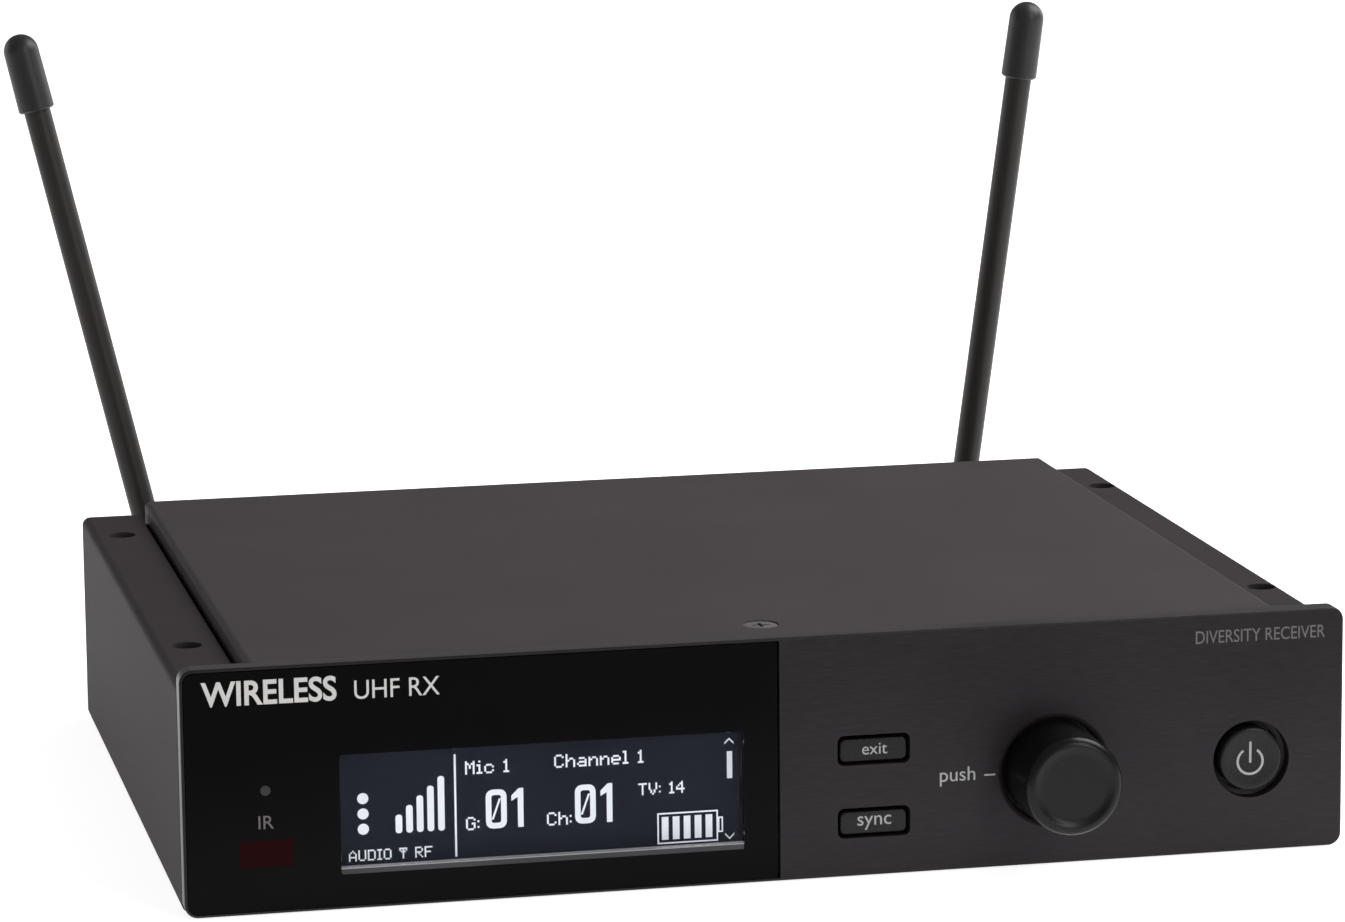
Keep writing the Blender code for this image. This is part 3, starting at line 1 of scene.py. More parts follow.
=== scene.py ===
"""Looks of a half-rack wireless receiver with two whip antennas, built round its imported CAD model.

Lengths here are millimetres, and add_piece turns each mesh into the frame's metres.
+X is right seen from the front, +Y is back, +Z is up, and the unit stands on z = 0.
"""
import json
import math

import bmesh
import bpy
from mathutils import Matrix, Vector


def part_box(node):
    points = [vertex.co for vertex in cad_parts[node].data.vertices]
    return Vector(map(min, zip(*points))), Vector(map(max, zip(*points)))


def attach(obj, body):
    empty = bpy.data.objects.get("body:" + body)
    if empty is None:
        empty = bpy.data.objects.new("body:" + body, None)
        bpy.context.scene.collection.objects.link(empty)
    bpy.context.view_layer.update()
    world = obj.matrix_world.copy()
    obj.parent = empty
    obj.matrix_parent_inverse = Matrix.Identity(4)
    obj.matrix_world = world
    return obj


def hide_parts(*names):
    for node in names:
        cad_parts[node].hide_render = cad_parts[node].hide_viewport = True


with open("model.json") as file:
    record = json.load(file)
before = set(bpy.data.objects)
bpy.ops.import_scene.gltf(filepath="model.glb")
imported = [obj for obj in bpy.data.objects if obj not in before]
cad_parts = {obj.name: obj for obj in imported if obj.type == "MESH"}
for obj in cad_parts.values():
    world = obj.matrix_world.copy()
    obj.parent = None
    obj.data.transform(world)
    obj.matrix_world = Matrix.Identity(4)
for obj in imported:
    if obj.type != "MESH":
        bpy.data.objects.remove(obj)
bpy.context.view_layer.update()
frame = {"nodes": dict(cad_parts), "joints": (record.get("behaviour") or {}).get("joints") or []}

MM = 0.001


def box(node):
    """Lowest and highest corner of a CAD node, in millimetres."""
    low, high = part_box(node)
    return low / MM, high / MM


def middle(node):
    """Centre of a CAD node as (x, z), in millimetres."""
    low, high = box(node)
    return (low.x + high.x) / 2, (low.z + high.z) / 2


JOINTS = {joint["name"]: joint for joint in frame["joints"]}
PANEL_LOW, PANEL_HIGH = box("front_panel")
FACE = PANEL_LOW.y
PANEL_BACK = PANEL_HIGH.y
HALF = PANEL_HIGH.x
PANEL_HEIGHT = PANEL_HIGH.z
REAR = box("chassis_tray")[1].y
STRIP_TOP = box("chassis_tray")[1].z
REAR_FACE = box("rear_panel")[1].y
COVER_LOW, COVER_HIGH = box("top_cover")
TOP_CENTRE = (COVER_LOW.x + COVER_HIGH.x) / 2

# Housing
SHEET = 1.2
SIDE_BEND = 1.5
STRIP_GAP = 1.1  # between each strip and the lid
BRACKET_HOLE_RADIUS = 2.55
BRACKET_HOLE_X = 94.0
BRACKET_HOLE_Y = (-41.6, 56.2)
COVER_SIDE_LOW = 36.9
COVER_BEND = 1.1
LIP_RELIEF_X = 54.0
COVER_SCREW = (TOP_CENTRE, (box("cover_screw_front")[0].y + box("cover_screw_front")[1].y) / 2)
REAR_SCREW_X, REAR_SCREW_Z = middle("cover_screw_rear_right")
SCREW_HEAD = 2.9
SCREW_SLOPE = 0.9
SCREW_HOLE = 1.8

# Front panel
PANEL_CORNER = 2.2
PANEL_EDGE = 0.4
LENS_RIM = 0.5
LENS_THICKNESS = 1.3
PANE_THICKNESS = 0.2
LENS_RIGHT = 0.3
SEAM_RIGHT = 0.8
DISPLAY_LOW = (-72.7, 5.8)
DISPLAY_HIGH = (-5.3, 25.9)
RIM_TOP = 6.95  # top of the lit strip along the display's lower edge
RIM_LINE = 0.24
INFRARED = middle("infrared_window")
INFRARED_SIZE = (8.9, 4.5)
SENSOR = middle("light_sensor")
SENSOR_RADIUS = 0.85
BUTTONS = {"exit": middle("exit_button"), "sync": middle("sync_button")}
BUTTON_SIZE = (12.1, 4.8)
BUTTON_CORNER = 1.0
KEY_SIZE = (11.5, 3.95)
KEY_DROP = 0.13
KEY_INSET = 0.5
KEY_EDGE = 0.38
BUTTON_GAP = 0.15
POWER = middle("power_button")
POWER_RADIUS = 5.45
POWER_RING = 6.65
RING_DEPTH = 2.4
KNOB = middle("control_knob")
KNOB_FRONT = box("control_knob")[0].y
KNOB_BACK = box("control_knob")[1].y
KNOB_RADIUS = 8.5
KNOB_FRONT_RADIUS = 8.35
KNOB_RIM = 1.45
KNOB_DISH = 0.45
KNOB_RING = 9.9
KNOB_RING_SLOPE = 1.1
SHAFT_RADIUS = 3.0
SHAFT_FRONT = box("encoder_shaft")[0].y
BUSH_RADIUS = 3.9
BUSH_FRONT = box("encoder_body")[0].y

# Rear connectors
XLR = middle("xlr_insert")
XLR_BORE = 9.35
XLR_TUBE = 11.0
XLR_FLANGE = (26.0, 31.0)
XLR_PIN_RADIUS = 1.2
PHONE = middle("phone_jack_nut")
PHONE_BORE = 3.25
PHONE_BUSH = 5.5
PHONE_WELL = 4.6
PHONE_NUT = 8.0
ETHERNET = middle("ethernet_jack")
ETHERNET_SIZE = (16.0, 13.6)
DC_INLET = middle("dc_jack")
DC_SIZE = (9.0, 11.0)
SWITCH = middle("level_switch_body")
SWITCH_SLOT = (7.0, 3.2)

# Antennas: built upright, with the bayonet axis along Y, then leaned and moved to their jacks
PIVOT_OUT = JOINTS["antenna_fold_left"]["pos_m"][1] / MM - REAR
BARREL_END = 12.0
COLLAR_START = 2.6
COLLAR_END = 14.6
COLLAR_RADIUS = 7.2
COLLAR_RIBS = 36
BASE_RADIUS = 6.2
BASE_END = PIVOT_OUT - 9.0
FORK_WIDTH = 11.4
TONGUE_WIDTH = 5.0
TONGUE_RADIUS = 4.6
HINGE_PIN_RADIUS = 1.6
ROD_RADIUS = 2.55
CAP_RADIUS = 3.45
CAP_TOP_RADIUS = 3.35
CAP_LENGTH = 15.0
ANTENNA_HEIGHT = 107.0
ANTENNA_TILT = {"left": 3.8, "right": -4.8}  # degrees from upright about the hinge pin, towards +Y

ROUND = 72  # sides of a full turn on anything that shows


# ---------------- mesh tools

PLACE = {
    "X": lambda a, b, along: (along, a, b),
    "Y": lambda a, b, along: (a, along, b),
    "Z": lambda a, b, along: (a, b, along),
}


def add_prism(mesh, outline, start, end, axis="Y"):
    """Extrude a closed outline, given in the two other axes in order, from start to end along axis."""
    place = PLACE[axis]
    base = mesh.faces.new([mesh.verts.new(place(a, b, start)) for a, b in outline])
    grown = bmesh.ops.extrude_face_region(mesh, geom=[base])
    moved = [item for item in grown["geom"] if isinstance(item, bmesh.types.BMVert)]
    bmesh.ops.translate(mesh, verts=moved, vec=Vector(place(0.0, 0.0, end - start)))


def add_box(mesh, low, high):
    outline = [(low[0], low[1]), (high[0], low[1]), (high[0], high[1]), (low[0], high[1])]
    add_prism(mesh, outline, low[2], high[2], "Z")


def arc(centre, radius, start, end, steps):
    """Points of an arc, both ends included; angles in degrees."""
    points = []
    for step in range(steps + 1):
        angle = math.radians(start + (end - start) * step / steps)
        points.append((centre[0] + radius * math.cos(angle), centre[1] + radius * math.sin(angle)))
    return points


def circle(centre, radius, steps=ROUND):
    return arc(centre, radius, 0.0, 360.0, steps)[:-1]


def rounded_rectangle(low, high, radius, steps=8):
    corners = (
        ((low[0] + radius, low[1] + radius), 180.0),
        ((high[0] - radius, low[1] + radius), 270.0),
        ((high[0] - radius, high[1] - radius), 0.0),
        ((low[0] + radius, high[1] - radius), 90.0),
    )
    points = []
    for centre, start in corners:
        points += arc(centre, radius, start, start + 90.0, steps)
    return points


def centred(centre, size, grow=0.0):
    """Low and high corners of a rectangle, widened by grow on every side."""
    half = (size[0] / 2 + grow, size[1] / 2 + grow)
    return (centre[0] - half[0], centre[1] - half[1]), (centre[0] + half[0], centre[1] + half[1])


def window(centre, size, radius, grow=0.0):
    return rounded_rectangle(*centred(centre, size, grow), radius)


def add_turned(mesh, profile, centre=(0.0, 0.0), steps=ROUND):
    """Spin a profile of (radius, y) points about the Y axis through (x, z) = centre."""
    first = len(mesh.verts)
    verts = [mesh.verts.new((centre[0] + radius, y, centre[1])) for radius, y in profile]
    edges = [mesh.edges.new(pair) for pair in zip(verts, verts[1:])]
    if profile[0][0] > 0.0:
        edges.append(mesh.edges.new((verts[-1], verts[0])))
    bmesh.ops.spin(mesh, geom=verts + edges, cent=(centre[0], 0.0, centre[1]), axis=(0.0, 1.0, 0.0),
                   angle=2.0 * math.pi, steps=steps, use_merge=True)
    mesh.verts.ensure_lookup_table()
    bmesh.ops.remove_doubles(mesh, verts=mesh.verts[first:], dist=0.0001)


def shape(add, *details, **options):
    """A new mesh with one shape added to it."""
    mesh = bmesh.new()
    add(mesh, *details, **options)
    return mesh


def add_object(name, data):
    item = bpy.data.objects.new(name, data)
    bpy.context.scene.collection.objects.link(item)
    return item


def start_piece(name, mesh):
    """A piece still in millimetres and in its own frame, ready to be cut and softened."""
    bmesh.ops.recalc_face_normals(mesh, faces=mesh.faces)
    data = bpy.data.meshes.new(name)
    mesh.to_mesh(data)
    mesh.free()
    data.shade_smooth()
    data.set_sharp_from_angle(angle=math.radians(32.0))
    return add_object(name, data)


def keep_result(piece):
    """Replace a piece's mesh by what its modifiers make of it."""
    bpy.context.view_layer.update()
    graph = bpy.context.evaluated_depsgraph_get()
    data = bpy.data.meshes.new_from_object(piece.evaluated_get(graph))
    piece.modifiers.clear()
    piece.data = data


def cut(piece, mesh, operation="DIFFERENCE"):
    """Cut a closed mesh out of a piece, or join it on."""
    tool = start_piece("tool", mesh)
    step = piece.modifiers.new("cut", "BOOLEAN")
    step.operation = operation
    step.object = tool
    keep_result(piece)
    bpy.data.objects.remove(tool)


def join(piece, mesh):
    cut(piece, mesh, "UNION")


def soften(piece, width, segments=3, angle=40.0):
    """Round every edge sharper than angle; add_piece's weighted normals later keep the flats flat in the
    shading.
    """
    step = piece.modifiers.new("soften", "BEVEL")
    step.width = width
    step.segments = segments
    step.limit_method = "ANGLE"
    step.angle_limit = math.radians(angle)
    keep_result(piece)


def start_block(name, node, width, segments):
    """A softened block that fills a CAD node's box, and the corners of that box."""
    low, high = box(node)
    block = start_piece(name, shape(add_box, low, high))
    soften(block, width, segments)
    return block, low, high


def add_piece(piece, paint, replaces=(), body="housing", place=None):
    """Scale a finished piece to metres, give it its material and let it ride on its body."""
    if place is not None:
        piece.data.transform(place)
    piece.data.transform(Matrix.Scale(MM, 4))
    piece.data.shade_smooth()
    piece.data.set_sharp_from_angle(angle=math.radians(35.0))
    even = piece.modifiers.new("even", "WEIGHTED_NORMAL")
    even.keep_sharp = True
    piece.data.materials.clear()
    piece.data.materials.append(paint)
    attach(piece, body)
    if replaces:
        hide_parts(*replaces)


# ---------------- materials

def link(tree, source, output, target, name):
    tree.links.new(source.outputs[output], target.inputs[name])


def add_noise(tree, place, size, detail, stretch):
    """Noise whose grains are about size millimetres across, longer along an axis where stretch is under 1."""
    scale = tree.nodes.new("ShaderNodeMapping")
    scale.inputs["Scale"].default_value = stretch
    noise = tree.nodes.new("ShaderNodeTexNoise")
    noise.inputs["Scale"].default_value = 1.0 / (size * MM)
    noise.inputs["Detail"].default_value = detail
    link(tree, place, "Object", scale, "Vector")
    link(tree, scale, "Vector", noise, "Vector")
    return noise


def spread(tree, noise, low, high):
    """The noise's middle range mapped to low..high."""
    step = tree.nodes.new("ShaderNodeMapRange")
    step.inputs["From Min"].default_value = 0.3
    step.inputs["From Max"].default_value = 0.7
    step.inputs["To Min"].default_value = low
    step.inputs["To Max"].default_value = high
    link(tree, noise, "Fac", step, "Value")
    return step


def add_tint(tree, colour, factor, output, name):
    """A colour scaled by a node's output, into one of the shader's inputs."""
    tint = tree.nodes.new("ShaderNodeVectorMath")
    tint.operation = "SCALE"
    tint.inputs[0].default_value = colour
    link(tree, factor, output, tint, "Scale")
    link(tree, tint, "Vector", tree.nodes["Principled BSDF"], name)


def paint(name, colour, roughness, grain, shade=0.12, mottle=0.05, relief=0.02, metallic=0.0,
          stretch=(1.0, 1.0, 1.0), specular=0.5, sockets=()):
    """Principled surface: grain and mottling vary its colour, the grain also its roughness and relief."""
    material = bpy.data.materials.new(name)
    material.use_nodes = True
    tree = material.node_tree
    shader = tree.nodes["Principled BSDF"]
    shader.inputs["Metallic"].default_value = metallic
    shader.inputs["Specular IOR Level"].default_value = specular
    for socket, value in sockets:
        shader.inputs[socket].default_value = value
    place = tree.nodes.new("ShaderNodeTexCoord")
    fine = add_noise(tree, place, grain, 3.0, stretch)
    broad = add_noise(tree, place, 28.0, 2.0, (1.0, 1.0, 1.0))
    fine_shade = spread(tree, fine, 1.0 - shade, 1.0 + shade)
    broad_shade = spread(tree, broad, 1.0 - mottle, 1.0 + mottle)
    both = tree.nodes.new("ShaderNodeMath")
    both.operation = "MULTIPLY"
    link(tree, fine_shade, "Result", both, 0)
    link(tree, broad_shade, "Result", both, 1)
    add_tint(tree, colour, both, "Value", "Base Color")
    rough = spread(tree, fine, roughness * 0.88, roughness * 1.12)
    link(tree, rough, "Result", shader, "Roughness")
    bump = tree.nodes.new("ShaderNodeBump")
    bump.inputs["Strength"].default_value = 1.0
    bump.inputs["Distance"].default_value = relief * MM
    link(tree, fine, "Fac", bump, "Height")
    link(tree, bump, "Normal", shader, "Normal")
    return material


def glow(name, colour, strength, shade):
    """Lit liquid-crystal surface: the backlight is a little uneven."""
    material = paint(name, colour, 0.35, 0.3, shade=0.03, relief=0.002, specular=0.03,
                     sockets=[("Emission Strength", strength)])
    tree = material.node_tree
    place = tree.nodes.new("ShaderNodeTexCoord")
    uneven = add_noise(tree, place, 22.0, 1.0, (1.0, 1.0, 1.0))
    light = spread(tree, uneven, 1.0 - shade, 1.0 + shade)
    add_tint(tree, colour, light, "Result", "Emission Color")
    return material


# Tray and lid wear the same powder coat. The tray's copy is painted darker: painted shade that stands in for
# the shade the lid's walls cast on the strips.
TRAY_PAINT_SHADED = paint("tray_paint_shaded", (0.037, 0.0310, 0.0330), 0.6, 0.32, shade=0.16, mottle=0.05, relief=0.03,
                   specular=0.04)
LID_PAINT = paint("lid_paint", (0.048, 0.0410, 0.043), 0.6, 0.32, shade=0.16, mottle=0.05, relief=0.03,
                  specular=0.08)
PANEL = paint("panel_black", (0.0178, 0.0150, 0.0172), 0.32, 0.16, shade=0.22, mottle=0.10, relief=0.008,
              stretch=(0.06, 1.0, 1.0), specular=0.14)
LENS = paint("lens_black", (0.0022, 0.0018, 0.0022), 0.09, 6.0, shade=0.1, mottle=0.1, relief=0.001,
             specular=0.05)
PANE = paint("clear_pane", (0.95, 0.96, 0.97), 0.04, 8.0, shade=0.01, mottle=0.01, relief=0.0,
             sockets=[("Transmission Weight", 1.0), ("IOR", 1.08)])
SCREEN = glow("screen_dark", (0.0085, 0.0095, 0.0145), 1.0, 0.15)
SCREEN_LIT = glow("screen_lit", (0.66, 0.68, 0.72), 0.60, 0.05)
SCREEN_RIM = glow("screen_rim", (0.030, 0.030, 0.032), 1.0, 0.3)
SCREEN_LINE = glow("screen_line", (0.150, 0.150, 0.155), 1.0, 0.1)
BUTTON_BLACK = paint("button_black", (0.0090, 0.0079, 0.0090), 0.27, 0.2, relief=0.003, specular=0.20)
KNOB_BLACK = paint("knob_black", (0.0045, 0.0040, 0.0045), 0.30, 0.22, relief=0.002, specular=0.20)
INFRARED_RED = paint("infrared_red", (0.0145, 0.0010, 0.0017), 0.16, 3.0, relief=0.001, specular=0.03)
SENSOR_GREY = paint("sensor_grey", (0.011, 0.0095, 0.010), 0.25, 0.6, relief=0.002)
INK_WHITE = paint("ink_white", (0.62, 0.61, 0.60), 0.6, 0.12, shade=0.06, relief=0.004)
INK_SILVER = paint("ink_silver", (0.34, 0.335, 0.34), 0.6, 0.12, shade=0.06, relief=0.004)
INK_GREY = paint("ink_grey", (0.118, 0.112, 0.110), 0.6, 0.12, shade=0.08, relief=0.004)
BOARD_GREEN = paint("board_green", (0.015, 0.09, 0.035), 0.4, 1.6, shade=0.2, relief=0.01)
NICKEL = paint("nickel", (0.60, 0.58, 0.54), 0.27, 0.5, shade=0.06, relief=0.003, metallic=1.0)
GOLD = paint("contact_gold", (0.78, 0.56, 0.22), 0.25, 0.5, shade=0.05, relief=0.002, metallic=1.0)
SCREW_GREY = paint("screw_grey", (0.088, 0.080, 0.082), 0.42, 0.35, relief=0.006)
BLACK_STEEL = paint("black_steel", (0.035, 0.034, 0.034), 0.38, 0.35, relief=0.006, metallic=0.7)
PLASTIC = paint("black_plastic", (0.016, 0.016, 0.017), 0.5, 0.35, relief=0.015)
ANTENNA = paint("antenna_black", (0.0190, 0.0155, 0.0148), 0.42, 0.4, relief=0.003, specular=0.26)
CAP_BLACK = paint("antenna_cap", (0.0175, 0.0160, 0.0155), 0.42, 0.4, relief=0.004, specular=0.32)
CABLE_GREY = paint("cable_grey", (0.33, 0.33, 0.35), 0.55, 1.27, stretch=(1.0, 0.02, 0.02))


# ---------------- housing

def make_tray():
    """One folded sheet: floor, sides and the strips on top, and the front wall behind the panel."""
    low, high = box("chassis_tray")
    corners = (
        ((low.x + SIDE_BEND, STRIP_TOP - SIDE_BEND), 90.0),
        ((low.x + SIDE_BEND, low.z + SIDE_BEND), 180.0),
        ((high.x - SIDE_BEND, low.z + SIDE_BEND), 270.0),
        ((high.x - SIDE_BEND, STRIP_TOP - SIDE_BEND), 0.0),
    )
    left, right = COVER_LOW.x - STRIP_GAP, COVER_HIGH.x + STRIP_GAP
    outer, inner = [(left, STRIP_TOP)], [(left, STRIP_TOP - SHEET)]
    for centre, start in corners:
        outer += arc(centre, SIDE_BEND, start, start + 90.0, 8)
        inner += arc(centre, SIDE_BEND - SHEET, start, start + 90.0, 8)
    outer.append((right, STRIP_TOP))
    inner.append((right, STRIP_TOP - SHEET))
    tray = start_piece("housing_tray", shape(add_prism, outer + inner[::-1], low.y, high.y))

    edge = SHEET / 2
    join(tray, shape(add_box, (low.x + edge, low.y, edge), (high.x - edge, low.y + SHEET, STRIP_TOP - edge)))
    cut(tray, shape(add_prism, rounded_rectangle((-92.0, 3.2), (92.0, 35.5), 2.0), low.y - SHEET,
                    low.y + 2 * SHEET))
    holes = bmesh.new()
    for side in (-1.0, 1.0):
        for y in BRACKET_HOLE_Y:
            hole = circle((TOP_CENTRE + side * BRACKET_HOLE_X, y), BRACKET_HOLE_RADIUS, 48)
            add_prism(holes, hole, STRIP_TOP - 2 * SHEET, STRIP_TOP + SHEET, "Z")
    cut(tray, holes)
    soften(tray, 0.14, 2)
    add_piece(tray, TRAY_PAINT_SHADED, ["chassis_tray"])


def make_cover():
    """Lid with folded edges: side walls between the strips and a lip down over the rear panel."""
    left, right = COVER_LOW.x, COVER_HIGH.x
    section = [(left, COVER_LOW.z), (right, COVER_LOW.z)]
    section += arc((right - COVER_BEND, COVER_HIGH.z - COVER_BEND), COVER_BEND, 0.0, 90.0, 8)
    section += arc((left + COVER_BEND, COVER_HIGH.z - COVER_BEND), COVER_BEND, 90.0, 180.0, 8)
    mesh = bmesh.new()
    add_prism(mesh, section, COVER_LOW.y, COVER_HIGH.y)
    rear_edges = []
    for edge in mesh.edges:
        if all(vert.co.y > REAR - 0.01 and vert.co.z > COVER_HIGH.z - 0.01 for vert in edge.verts):
            rear_edges.append(edge)
    bmesh.ops.bevel(mesh, geom=rear_edges, offset=COVER_BEND * 0.8, segments=6, profile=0.5, affect="EDGES")
    cover = start_piece("cover", mesh)

    under = COVER_HIGH.z - SHEET
    lip = REAR - SHEET
    low = COVER_LOW.z - SHEET
    cut(cover, shape(add_box, (left + SHEET, COVER_LOW.y - SHEET, low), (right - SHEET, lip, under)))
    cut(cover, shape(add_box, (left - SHEET, COVER_LOW.y - SHEET, low), (right + SHEET, lip, COVER_SIDE_LOW)))
    relief = bmesh.new()
    add_prism(relief, rounded_rectangle((-LIP_RELIEF_X, low - 5.0), (LIP_RELIEF_X, COVER_SIDE_LOW), 1.5),
              lip - SHEET, REAR + SHEET)
    for side in (-1.0, 1.0):
        add_prism(relief, circle((side * REAR_SCREW_X, REAR_SCREW_Z), SCREW_HOLE, 32), lip - SHEET,
                  REAR + SHEET)
    cut(cover, relief)
    soften(cover, 0.14, 2)
    rim = SCREW_HEAD + 0.25
    sink = bmesh.new()
    add_turned(sink, [(0.0, -1.0), (rim, -1.0), (rim, 0.12), (rim - SCREW_SLOPE, SCREW_SLOPE + 0.12),
                      (rim - SCREW_SLOPE, 2.0), (0.0, 2.0)])
    turn_down(sink)
    cut(cover, sink)
    add_piece(cover, LID_PAINT, ["top_cover"])


def turn_down(mesh):
    """Turn a shape drawn along +Y to point down at the cover's screw."""
    place = Matrix.Translation((*COVER_SCREW, COVER_HIGH.z)) @ Matrix.Rotation(-math.pi / 2, 4, "X")
    bmesh.ops.transform(mesh, matrix=place, verts=mesh.verts)


def make_pan_screw(name, seat):
    """Pan-head Phillips screw whose head stands on the surface at y = seat."""
    centre = middle(name)
    profile = [(0.0, seat - 6.0), (1.45, seat - 6.0), (1.45, seat), (SCREW_HEAD - 0.1, seat)]
    profile += [(SCREW_HEAD, seat + 0.12), (SCREW_HEAD, seat + 0.85)]
    profile += [(SCREW_HEAD - 1.1 + radius, y) for radius, y in arc((0.0, seat + 0.85), 1.1, 12.0, 84.0, 6)]
    profile.append((0.0, seat + 1.98))
    screw = start_piece("screw_" + name, shape(add_turned, profile, centre, 40))
    for long, short in ((1.45, 0.3), (0.3, 1.45)):
        low, high = centred(centre, (2 * long, 2 * short))
        cut(screw, shape(add_box, (low[0], seat + 0.9, low[1]), (high[0], seat + 4.0, high[1])))
    add_piece(screw, BLACK_STEEL, [name])


def make_cover_screw():
    """Countersunk Phillips screw in the cover's dimple."""
    rim = SCREW_HEAD
    drop = 0.08
    profile = [(0.0, drop), (rim - 0.25, drop), (rim, drop + 0.12),
               (rim - SCREW_SLOPE, drop + SCREW_SLOPE + 0.12), (1.45, drop + SCREW_SLOPE + 0.5),
               (1.45, 7.0), (0.0, 7.0)]
    mesh = bmesh.new()
    add_turned(mesh, profile, steps=56)
    turn_down(mesh)
    screw = start_piece("screw_cover_front", mesh)
    for long, short in ((1.5, 0.32), (0.32, 1.5)):
        low, high = centred(COVER_SCREW, (2 * long, 2 * short))
        cut(screw, shape(add_box, (*low, COVER_HIGH.z - 0.9), (*high, COVER_HIGH.z + 1.0)))
    add_piece(screw, SCREW_GREY, ["cover_screw_front"])


def make_rear_panel():
    low, high = box("rear_panel")
    panel = start_piece("rear_plate", shape(add_box, (low.x + 0.1, low.y, low.z + 0.1),
                                            (high.x - 0.1, high.y, high.z)))
    reach = (low.y - SHEET, high.y + SHEET)
    holes = bmesh.new()
    for name in ("antenna_jack_left", "antenna_jack_right"):
        add_prism(holes, circle(middle(name), 6.5), *reach)
    for side in (-1.0, 1.0):
        add_prism(holes, circle((side * REAR_SCREW_X, REAR_SCREW_Z), SCREW_HOLE, 32), *reach)
    add_prism(holes, circle(XLR, XLR_TUBE + 0.2), *reach)
    add_prism(holes, circle(PHONE, PHONE_BUSH + 0.2), *reach)
    add_prism(holes, window(ETHERNET, ETHERNET_SIZE, 0.5, 0.2), *reach)
    add_prism(holes, window(DC_INLET, DC_SIZE, 0.5, 0.2), *reach)
    add_prism(holes, window(SWITCH, SWITCH_SLOT, 0.6), *reach)
    for name in ("xlr_screw_lower", "xlr_screw_upper"):
        add_prism(holes, circle(middle(name), SCREW_HOLE, 32), *reach)
    cut(panel, holes)
    soften(panel, 0.12, 2)
    add_piece(panel, TRAY_PAINT_SHADED, ["rear_panel"])


# ---------------- front

def lens_outline(low, high):
    """Outline with the panel's round corners on the left and nearly square ones on the seam side."""
    wide, tight = PANEL_CORNER - LENS_RIM, 0.25
    points = arc((low[0] + wide, low[1] + wide), wide, 180.0, 270.0, 10)
    points += arc((high[0] - tight, low[1] + tight), tight, 270.0, 360.0, 3)
    points += arc((high[0] - tight, high[1] - tight), tight, 0.0, 90.0, 3)
    points += arc((low[0] + wide, high[1] - wide), wide, 90.0, 180.0, 10)
    return points


def make_front_panel():
    outline = rounded_rectangle((-HALF, 0.0), (HALF, PANEL_HEIGHT), PANEL_CORNER, 10)
    panel = start_piece("faceplate", shape(add_prism, outline, FACE, PANEL_BACK))
    soften(panel, PANEL_EDGE, 4)
    low, high = (-HALF + LENS_RIM, LENS_RIM), (SEAM_RIGHT, PANEL_HEIGHT - LENS_RIM)
    cut(panel, shape(add_prism, lens_outline(low, high), FACE - 1.0, FACE + LENS_THICKNESS + 0.2))
    windows = bmesh.new()
    through = (FACE - 1.0, PANEL_BACK + 1.0)
    add_prism(windows, rounded_rectangle(DISPLAY_LOW, DISPLAY_HIGH, 0.5), *through)
    add_prism(windows, window(INFRARED, INFRARED_SIZE, 0.4, 0.2), *through)
    add_prism(windows, circle(SENSOR, SENSOR_RADIUS + 0.1, 24), *through)
    for centre in BUTTONS.values():
        outline = window(centre, BUTTON_SIZE, BUTTON_CORNER + BUTTON_GAP, BUTTON_GAP)
        add_prism(windows, outline, *through)
    cut(panel, windows)
    floor = FACE + RING_DEPTH
    end = PANEL_BACK + 1.0
    power = [(0.0, FACE - 1.0), (POWER_RING, FACE - 1.0), (POWER_RING, floor)]
    power += [(POWER_RADIUS + 0.3, floor), (POWER_RADIUS + 0.3, end), (0.0, end)]
    dish = KNOB_RING - KNOB_RING_SLOPE
    knob = [(0.0, FACE - 1.0), (KNOB_RING + 0.2, FACE - 1.0), (KNOB_RING + 0.2, FACE - 0.05)]
    knob += arc((KNOB_RING, FACE + KNOB_RING_SLOPE), KNOB_RING_SLOPE, 270.0, 180.0, 8)
    knob += [(dish, floor), (BUSH_RADIUS + 0.3, floor), (BUSH_RADIUS + 0.3, end), (0.0, end)]
    rings = bmesh.new()
    add_turned(rings, power, POWER, 96)
    add_turned(rings, knob, KNOB, 128)
    cut(panel, rings)
    soften(panel, 0.18, 2, 50.0)
    add_piece(panel, PANEL, ["front_panel"])


def make_lens():
    """Glossy black lens with a clear pane over the display and an infrared pane."""
    inset = LENS_RIM + 0.07
    outline = lens_outline((-HALF + inset, inset), (LENS_RIGHT, PANEL_HEIGHT - inset))
    lens = start_piece("lens", shape(add_prism, outline, FACE, FACE + LENS_THICKNESS))
    soften(lens, 0.1, 2)
    windows = bmesh.new()
    through = (FACE - 1.0, FACE + LENS_THICKNESS + 1.0)
    add_prism(windows, rounded_rectangle(DISPLAY_LOW, DISPLAY_HIGH, 0.4), *through)
    add_prism(windows, window(INFRARED, INFRARED_SIZE, 0.3), *through)
    add_prism(windows, circle(SENSOR, SENSOR_RADIUS, 32), *through)
    cut(lens, windows)
    add_piece(lens, LENS, ["display_window"])

    gap = 0.01
    low = (DISPLAY_LOW[0] + gap, RIM_TOP + gap)
    high = (DISPLAY_HIGH[0] - gap, DISPLAY_HIGH[1] - gap)
    add_piece(start_piece("display_pane", shape(add_prism, rounded_rectangle(low, high, 0.4), FACE,
                                                FACE + PANE_THICKNESS)), PANE)

    depth = box("infrared_window")[1].y
    add_piece(start_piece("infrared_pane", shape(add_prism, window(INFRARED, INFRARED_SIZE, 0.3, -gap),
                                                 FACE + 0.02, depth)), INFRARED_RED,
              ["infrared_window"])

    sensor = start_piece("sensor_lens", shape(add_prism, circle(SENSOR, SENSOR_RADIUS - gap, 32),
                                              FACE + 0.02, depth))
    add_piece(sensor, SENSOR_GREY, ["light_sensor"])


